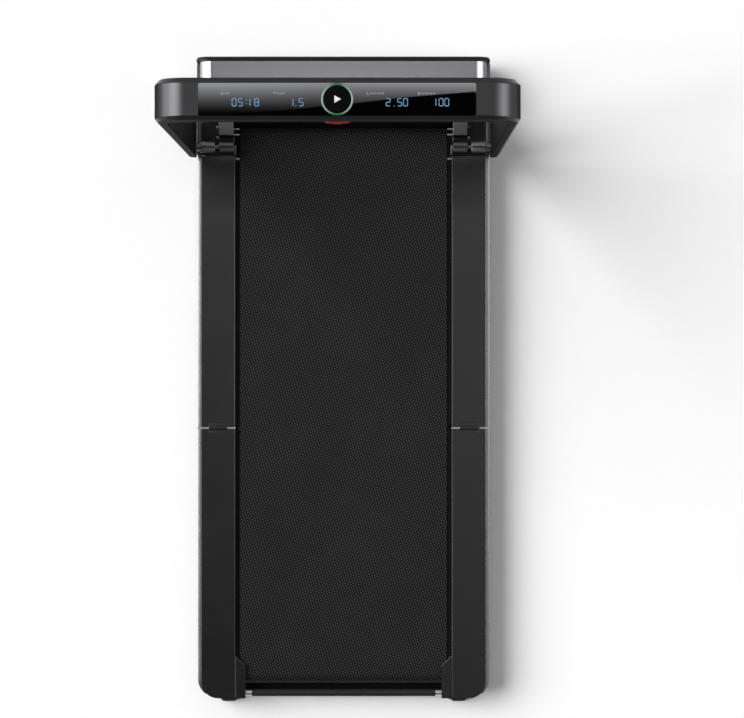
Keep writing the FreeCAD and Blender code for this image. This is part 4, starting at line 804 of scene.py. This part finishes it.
# %% [markdown]
# The digits are seven-segment figures. Each segment is a thin plate on the glass, a slim bar with
# pointed ends.

# %% Digits
SEGMENTS = {"0": "abcdef", "1": "bc", "2": "abged", "5": "afgcd", "8": "abcdefg"}
# The two ends of each segment, among six points counted from the lower left to the upper right.
ENDS = {"a": (4, 5), "b": (5, 3), "c": (3, 1), "d": (1, 0), "e": (0, 2), "f": (2, 4), "g": (2, 3)}
light_low, light_high = 900.12, 900.24


def segment(shape, start, end, thick):
    """A slim bar with pointed ends, lying on the glass."""
    start, end = Vector(start), Vector(end)
    along = (end - start).normalized() * thick / 2
    across = Vector((-along.y, along.x))
    spots = [start, start + along + across, end - along + across, end, end - along - across,
             start + along - across]
    pressed(shape, "XY", [tuple(spot) for spot in spots], light_low, light_high)


def figure(shape, sign, x, y, wide, tall, thick):
    """One figure with its lower left corner at x and y."""
    points = [Vector((u, v)) for v in (y, y + tall / 2, y + tall) for u in (x, x + wide)]
    for name in SEGMENTS[sign]:
        start, end = (points[i] for i in ENDS[name])
        inward = (end - start).normalized() * thick * 0.12
        segment(shape, start + inward, end - inward, thick)


digits = bmesh.new()
base_y, tall, wide, thick = 532.1, 14.0, 7.6, 1.7
dot_rises = {":": (4.4, 11.4), ".": (0,)}
dot = rod(radius=1.0, low=light_low, high=light_high)
readings = (("05:18", (-199.4, -187.4, -172.1, -172.9, -156.6)), ("1.5", (-91.4, -78.4, -72.0)),
            ("2.50", (93.3, 108.2, 115.1, 126.2)), ("100", (180.0, 193.5, 204.4)))
for reading, places in readings:
    for sign, x in zip(reading, places):
        if sign in SEGMENTS:
            figure(digits, sign, x, base_y, wide, tall, thick)
        for rise in dot_rises.get(sign, ()):
            turned(digits, "z", (x, base_y + rise, 0), dot, steps=12)
piece("digits", digits, digit_light, "handrail", "ring_light")

# %% [markdown]
# Over each number sits a small sign, which needs no words: a clock, a dial, a track and a drop. A row
# of small bars stands beside each.

# %% Small signs over the digits
signs = bmesh.new()
sign_y, sign_high, sign_r, line_wide = 556.0, 900.22, 3.0, 1.0
bar_step, bar_wide, bar_half, bar_dip, sign_room, first_bar = 3.0, 1.6, 2.0, 0.7, 8, 9.5


def band(shape, centre, radius, start, end, thick, steps=20):
    """A flat curved band on the glass."""
    outline = arc(centre, radius, start, end, steps) + arc(centre, radius - thick, end, start, steps)
    pressed(shape, "XY", outline, light_low, sign_high)


for start, end in ((-222, -205), (-122.5, -99), (55, 91), (152, 188)):
    for i in range(int((end - start - sign_room) / bar_step)):
        x = start + first_bar + bar_step * i
        segment(signs, (x, sign_y - bar_half), (x, sign_y + bar_half - bar_dip * (i % 2)), bar_wide)
for x, sweep in ((-218.5, 350), (-119, 180)):
    band(signs, (x, sign_y), sign_r, 0, sweep, line_wide)
    segment(signs, (x, sign_y), (x + 1.4, sign_y + 1.6), thick=0.9)
track_x, track_end, drop_x = 58.5, 62, 155.5
band(signs, (track_x, sign_y), sign_r, 90, 270, line_wide)
segment(signs, (track_x, sign_y - 2.5), (track_end, sign_y - 2.5), line_wide)
drop = arc((drop_x, sign_y - 0.6), 2.2, 150, 390, 20) + [(drop_x, sign_y + 3.4)]
pressed(signs, "XY", drop, light_low, sign_high)
piece("display_signs", signs, sign_light, "handrail", "ring_light")

# %% [markdown]
# ## The start button in its ring of light
# The button is a shallow dome that slides in a frosted ring. A triangle, the common sign for start,
# stands on the dome and shines white.

# %% Light ring and start button
ring_line = [(27.1, 897.2), (27.1, 900.1), (27.6, 900.5), (29.6, 900.5), (30.3, 900.2), (30.3, 897.2),
             (27.1, 897.2)]
ring = bmesh.new()
turned(ring, "z", (0, button_y, 0), ring_line, steps=96)
piece("glow_ring", ring, ring_glow, "handrail", "ring_light", "light_ring")

dome_line = [(0, 887.6), (4, 887.6), (4, 892), (26.8, 892), (26.8, 899.3), (26.4, 899.9), (25.4, 900.3),
             (19, 900.55), (10, 900.7), (0, 900.75)]
dome = bmesh.new()
turned(dome, "z", (0, button_y, 0), dome_line, steps=96)
piece("button_dome", dome, button_abs, "start_button", "button_plastic", "start_button")
mark_back, mark_tip, mark_half, mark_low, mark_high = -5.2, 7.6, 7.2, 900.2, 900.95
triangle = [(mark_back, button_y - mark_half), (mark_tip, button_y), (mark_back, button_y + mark_half)]
mark = bmesh.new()
pressed(mark, "XY", triangle, mark_low, mark_high)
softened(mark, edge=0.9, steps=3, over=80)
piece("start_mark", mark, start_light, "start_button", "ring_light")

# %% [markdown]
# ## The handrail's hinge
# Each post turns on a cast hinge beside the hood. The base has a foot, a block that stops the post
# upright, one knuckle, and an ear with a stud. The post carries the other knuckle. Both knuckles are
# round at the far side, with a groove on top and a flat towards the walker.

# %% Hinge castings
hinge_y, hinge_z, knuckle_r, flat = 526.9, 100.0, 14.0, 9.0
flat_turn = 180 - degrees(asin(flat / knuckle_r))
groove = [(hinge_y - 0.2, hinge_z + 11), (hinge_y - 1.4, hinge_z + flat)]
knuckle = (arc((hinge_y, hinge_z), knuckle_r, -90, 90, 28) + groove
           + arc((hinge_y, hinge_z), knuckle_r, flat_turn, 270, 24)[:-1])
knuckle_in, knuckle_out, barrel_in, barrel_out, cheek_in, cheek_out = 245.7, 278.1, 287.3, 319.7, 321.9, 329.5
bay_near, bay_far, stop_near, stop_far = 510.2, 589.5, 552.0, 582.0
cast_low, plate_top, stop_top, rim_top, cheek_low = 69.5, 84.0, 112.0, 74.0, 20.0
cast_blocks = ((knuckle_in, barrel_out, bay_near, bay_far, cast_low, plate_top),
               (knuckle_in, knuckle_out, stop_near, stop_far, plate_top - 1, stop_top),
               (barrel_out - 1, cheek_out, bay_near, bay_far, cast_low, rim_top),
               (cheek_in, cheek_out, bay_near, bay_far, cheek_low, plate_top))
ear, ear_in, ear_out = rounded_box((508, 66.5), (534, 97), 5), 241.2, 244.4
stud_r, stud_in, stud_out, stud_drop = 5, 244, 248, 6
pins = ((10, barrel_out - 2, post_in), (5, knuckle_out - 4, barrel_in + 2))
least_shaded_plate_area = 1000
for side, hand in ((-1, "left"), (1, "right")):
    cast = bmesh.new()
    pressed(cast, "YZ", knuckle, knuckle_in * side, knuckle_out * side)
    for near, far, *block in cast_blocks:
        pressed(cast, "YZ", box(*block), near * side, far * side)
    pressed(cast, "YZ", ear, ear_in * side, ear_out * side)
    stud = rod(stud_r, stud_in * side, stud_out * side)
    turned(cast, "x", (0, hinge_y, hinge_z - stud_drop), stud, steps=24)
    softened(cast, edge=1.1)
    # Large faces level with the plate's top take black plastic: painted shade where the posts and the console
    # shade the plate.
    for face in cast.faces:
        level = abs(face.calc_center_median().z - plate_top) < 0.1
        face.material_index = 1 if level and face.calc_area() > least_shaded_plate_area else 0
    casting = piece(f"hinge_casting_{hand}", cast, black_zinc, "front_deck", "hinge_metal",
                    *(["hinge_bases"] if side < 0 else []))
    casting.data.materials.append(black_abs)
    swing = bmesh.new()
    pressed(swing, "YZ", knuckle, barrel_in * side, barrel_out * side)
    softened(swing, edge=1.3)
    for radius, near, far in pins:
        turned(swing, "x", (0, hinge_y, hinge_z), rod(radius, near * side, far * side), steps=32)
    piece(f"hinge_barrel_{hand}", swing, barrel_zinc_painted_highlight, "handrail", "hinge_metal",
          *(["hinge_barrels"] if side < 0 else []))

# %% [markdown]
# Bolts and screws hold the hinge. A bolt's head has a rounded rim and a socket in it, and a screw's
# head is a low dome. All of them are turned.

# %% Hinge bolts and screws
bolts = bmesh.new()
# Each bolt's place, its radius, and the two ends of its head.
bolt_spots = ((554.5, 98, 2.5, 233.8, 246), (567.3, 98, 2.5, 233.8, 246), (503.2, 66.5, 3, 234.8, 244))
screw_spots = (549.5, 573)
screw_line = [(0, 86.2), (1.1, 86.2), (1.2, 87.9), (2.4, 87.6), (3.4, 86.6), (3.8, 85.2), (3.8, 83.6),
              (0, 83.6)]
for side in (-1, 1):
    for y, z, r, near, far in bolt_spots:
        head = [(0, near + 2), (r * 0.5, near + 1.8), (r * 0.55, near), (r * 0.85, near), (r, near + 0.6),
                (r, far), (0, far)]
        turned(bolts, "x", (0, y, z), mirrored(head, side), steps=24)
    for y in screw_spots:
        turned(bolts, "z", ((knuckle_out + barrel_in) / 2 * side, y, 0), screw_line, steps=32)
piece("hinge_bolts", bolts, plated_steel, "front_deck", "bolt_steel", "hinge_fasteners")

# %% [markdown]
# ## The rear bar and the feet
# At the rear a round bar joins the two sides of the frame: a soft sleeve between two bright turned
# ends, each with a groove round it.

# %% Rear bar
bar_y, bar_z, sleeve_x, sleeve_r, rim_r, rim_run = -702.2, 60.0, 207.2, 8, 7.2, 0.9
sleeve_line = [(0, -sleeve_x), (rim_r, -sleeve_x), (sleeve_r, rim_run - sleeve_x),
               (sleeve_r, sleeve_x - rim_run), (rim_r, sleeve_x), (0, sleeve_x)]
tube = bmesh.new()
turned(tube, "x", (0, bar_y, bar_z), sleeve_line, steps=40)
piece("rear_bar_sleeve", tube, sleeve_rubber, "rear_deck", "bar_sleeve", "rear_bar")
cap = [(0, -0.3), (7, -0.3), (7, 6), (6.2, 6.6), (6.2, 8), (7, 8.6), (7, 14), (0, 14)]
cap_line = [(radius, sleeve_x + reach) for radius, reach in cap]
caps = bmesh.new()
for side in (-1, 1):
    turned(caps, "x", (0, bar_y, bar_z), mirrored(cap_line, side), steps=40)
piece("rear_bar_caps", caps, bare_metal, "rear_deck", "bar_steel", "rear_bar_ends")

# %% [markdown]
# Under the deck, round rubber feet have a rolled rim and a shallow cup that grips the floor. The feet
# at the rear corners are longer: a pad under a thin flange.

# %% Feet
def round_foot(shape, x, y, top):
    """A round foot with a rolled rim and a shallow cup underneath."""
    foot_line = [(0, 1.6), (13, 1.6), (15, 0), (20, 0), (22, 2), (22, top - 3), (20.5, top), (0, top)]
    turned(shape, "z", (x, y, 0), foot_line, steps=40)


front_pads, rear_pads = bmesh.new(), bmesh.new()
foot_x, seam_foot, bay_foot_y, frame_low, pan_low, flange_low = 283.7, 36.82, 549.85, 14, 12, 8
corner_pad = rounded_box((243.4, -728.4), (280, -659.4), 8)
corner_flange = rounded_box((231.4, -724.9), (288, -659.4), 14)
for side in (-1, 1):
    for outline, low in ((corner_pad, 0), (corner_flange, flange_low)):
        pressed(rear_pads, "XY", [(x * side, y) for x, y in outline], low, frame_low)
softened(rear_pads, edge=1.5, steps=3, over=60)
for side in (-1, 1):
    round_foot(rear_pads, foot_x * side, seam_y - seam_foot, frame_low)
    round_foot(front_pads, foot_x * side, seam_y + seam_foot, frame_low)
    round_foot(front_pads, foot_x * side, bay_foot_y, pan_low)
piece("front_foot_pads", front_pads, rubber, "front_deck", "foot_rubber", "front_feet")
piece("rear_foot_pads", rear_pads, rubber, "rear_deck", "foot_rubber", "rear_feet")

# %% [markdown]
# ## The transport wheels
# Tipped up, the pad rolls on two small wheels under the hood. Each has a hard hub with a dished face
# and a soft tyre with two grooves.

# %% Transport wheels
wheel_x, wheel_y, wheel_z = 293.5, 698.0, 18.0
tyre_half = [(10.5, 9.1), (13.2, 9.5), (15.2, 9.5), (16, 8.4), (16, 4.0), (15.2, 3.4), (15.2, 2.6), (16, 2.0)]
hub_half = [(10.6, 8.4), (9.4, 8.8), (8.4, 6.4), (6.2, 6.4), (5.6, 9.0), (4.4, 9.0)]
for side, hand in ((-1, "left"), (1, "right")):
    for part, half_line, finish, extra in (("tyre", tyre_half, rubber, [f"transport_wheel_{hand}"]),
                                           ("hub", hub_half, black_abs, [])):
        loop_line = half_line + mirrored(half_line[::-1], -1)
        round_part = bmesh.new()
        turned(round_part, "x", (wheel_x * side, wheel_y, wheel_z), loop_line + loop_line[:1])
        piece(f"wheel_{part}_{hand}", round_part, finish, f"wheel_{hand}", "wheel_rubber", *extra)

# %% [markdown]
# ## Plates and screws
# Where the deck folds, thin aluminium plates close the end of each rail and show as a fine bright line.

# %% Seam plates
plate_spans, plate_near, plate_far = ((243.6, 263.2), (307.5, 328.5)), 0.2, 1.98
plate_low, plate_high = 53, 71.9
for body, direction in (("front_deck", 1), ("rear_deck", -1)):
    plates = bmesh.new()
    low_y, high_y = sorted((seam_y + plate_near * direction, seam_y + plate_far * direction))
    for side in (-1, 1):
        for near, far in plate_spans:
            pressed(plates, "YZ", box(low_y, high_y, plate_low, plate_high), near * side, far * side)
    softened(plates, edge=0.25, steps=1)
    piece(f"seam_plates_{body}", plates, bare_metal, body, "trim_aluminium")

# %% [markdown]
# Button-head screws hold the hood's flanges, the cheeks of the hinge and the console's cover.

# %% Screws
def screw(shape, axis, centre, way, r):
    """A button-head screw: a low dome with a round socket, its seat at the centre."""
    line = [(0, -0.4), (r * 0.38, -0.4), (r * 0.4, 1.2), (r * 0.7, 1.1), (r * 0.92, 0.6), (r, 0), (r, -0.5),
            (0, -0.5)]
    turned(shape, axis, centre, mirrored(line, way), steps=24)


side_spots = [(flange_x, y, 46) for y in (612, 654, 696)] + [(cheek_out, y, 40) for y in (528, 572)]
cover_spots = [(x, y, rail_under) for x in (92, 258) for y in (522, 570)]
deck_screws, console_screws = bmesh.new(), bmesh.new()
for side in (-1, 1):
    for x, y, z in side_spots:
        screw(deck_screws, "x", (x * side, y, z), side, r=4.0)
    for x, y, z in cover_spots:
        screw(console_screws, "z", (x * side, y, z), -1, r=3.2)
piece("deck_screws", deck_screws, plated_steel, "front_deck", "bolt_steel")
piece("console_screws", console_screws, plated_steel, "handrail", "bolt_steel")

# %% [markdown]
# ## Closing
# At the end the view layer is updated once more.

# %% Final update
bpy.context.view_layer.update()
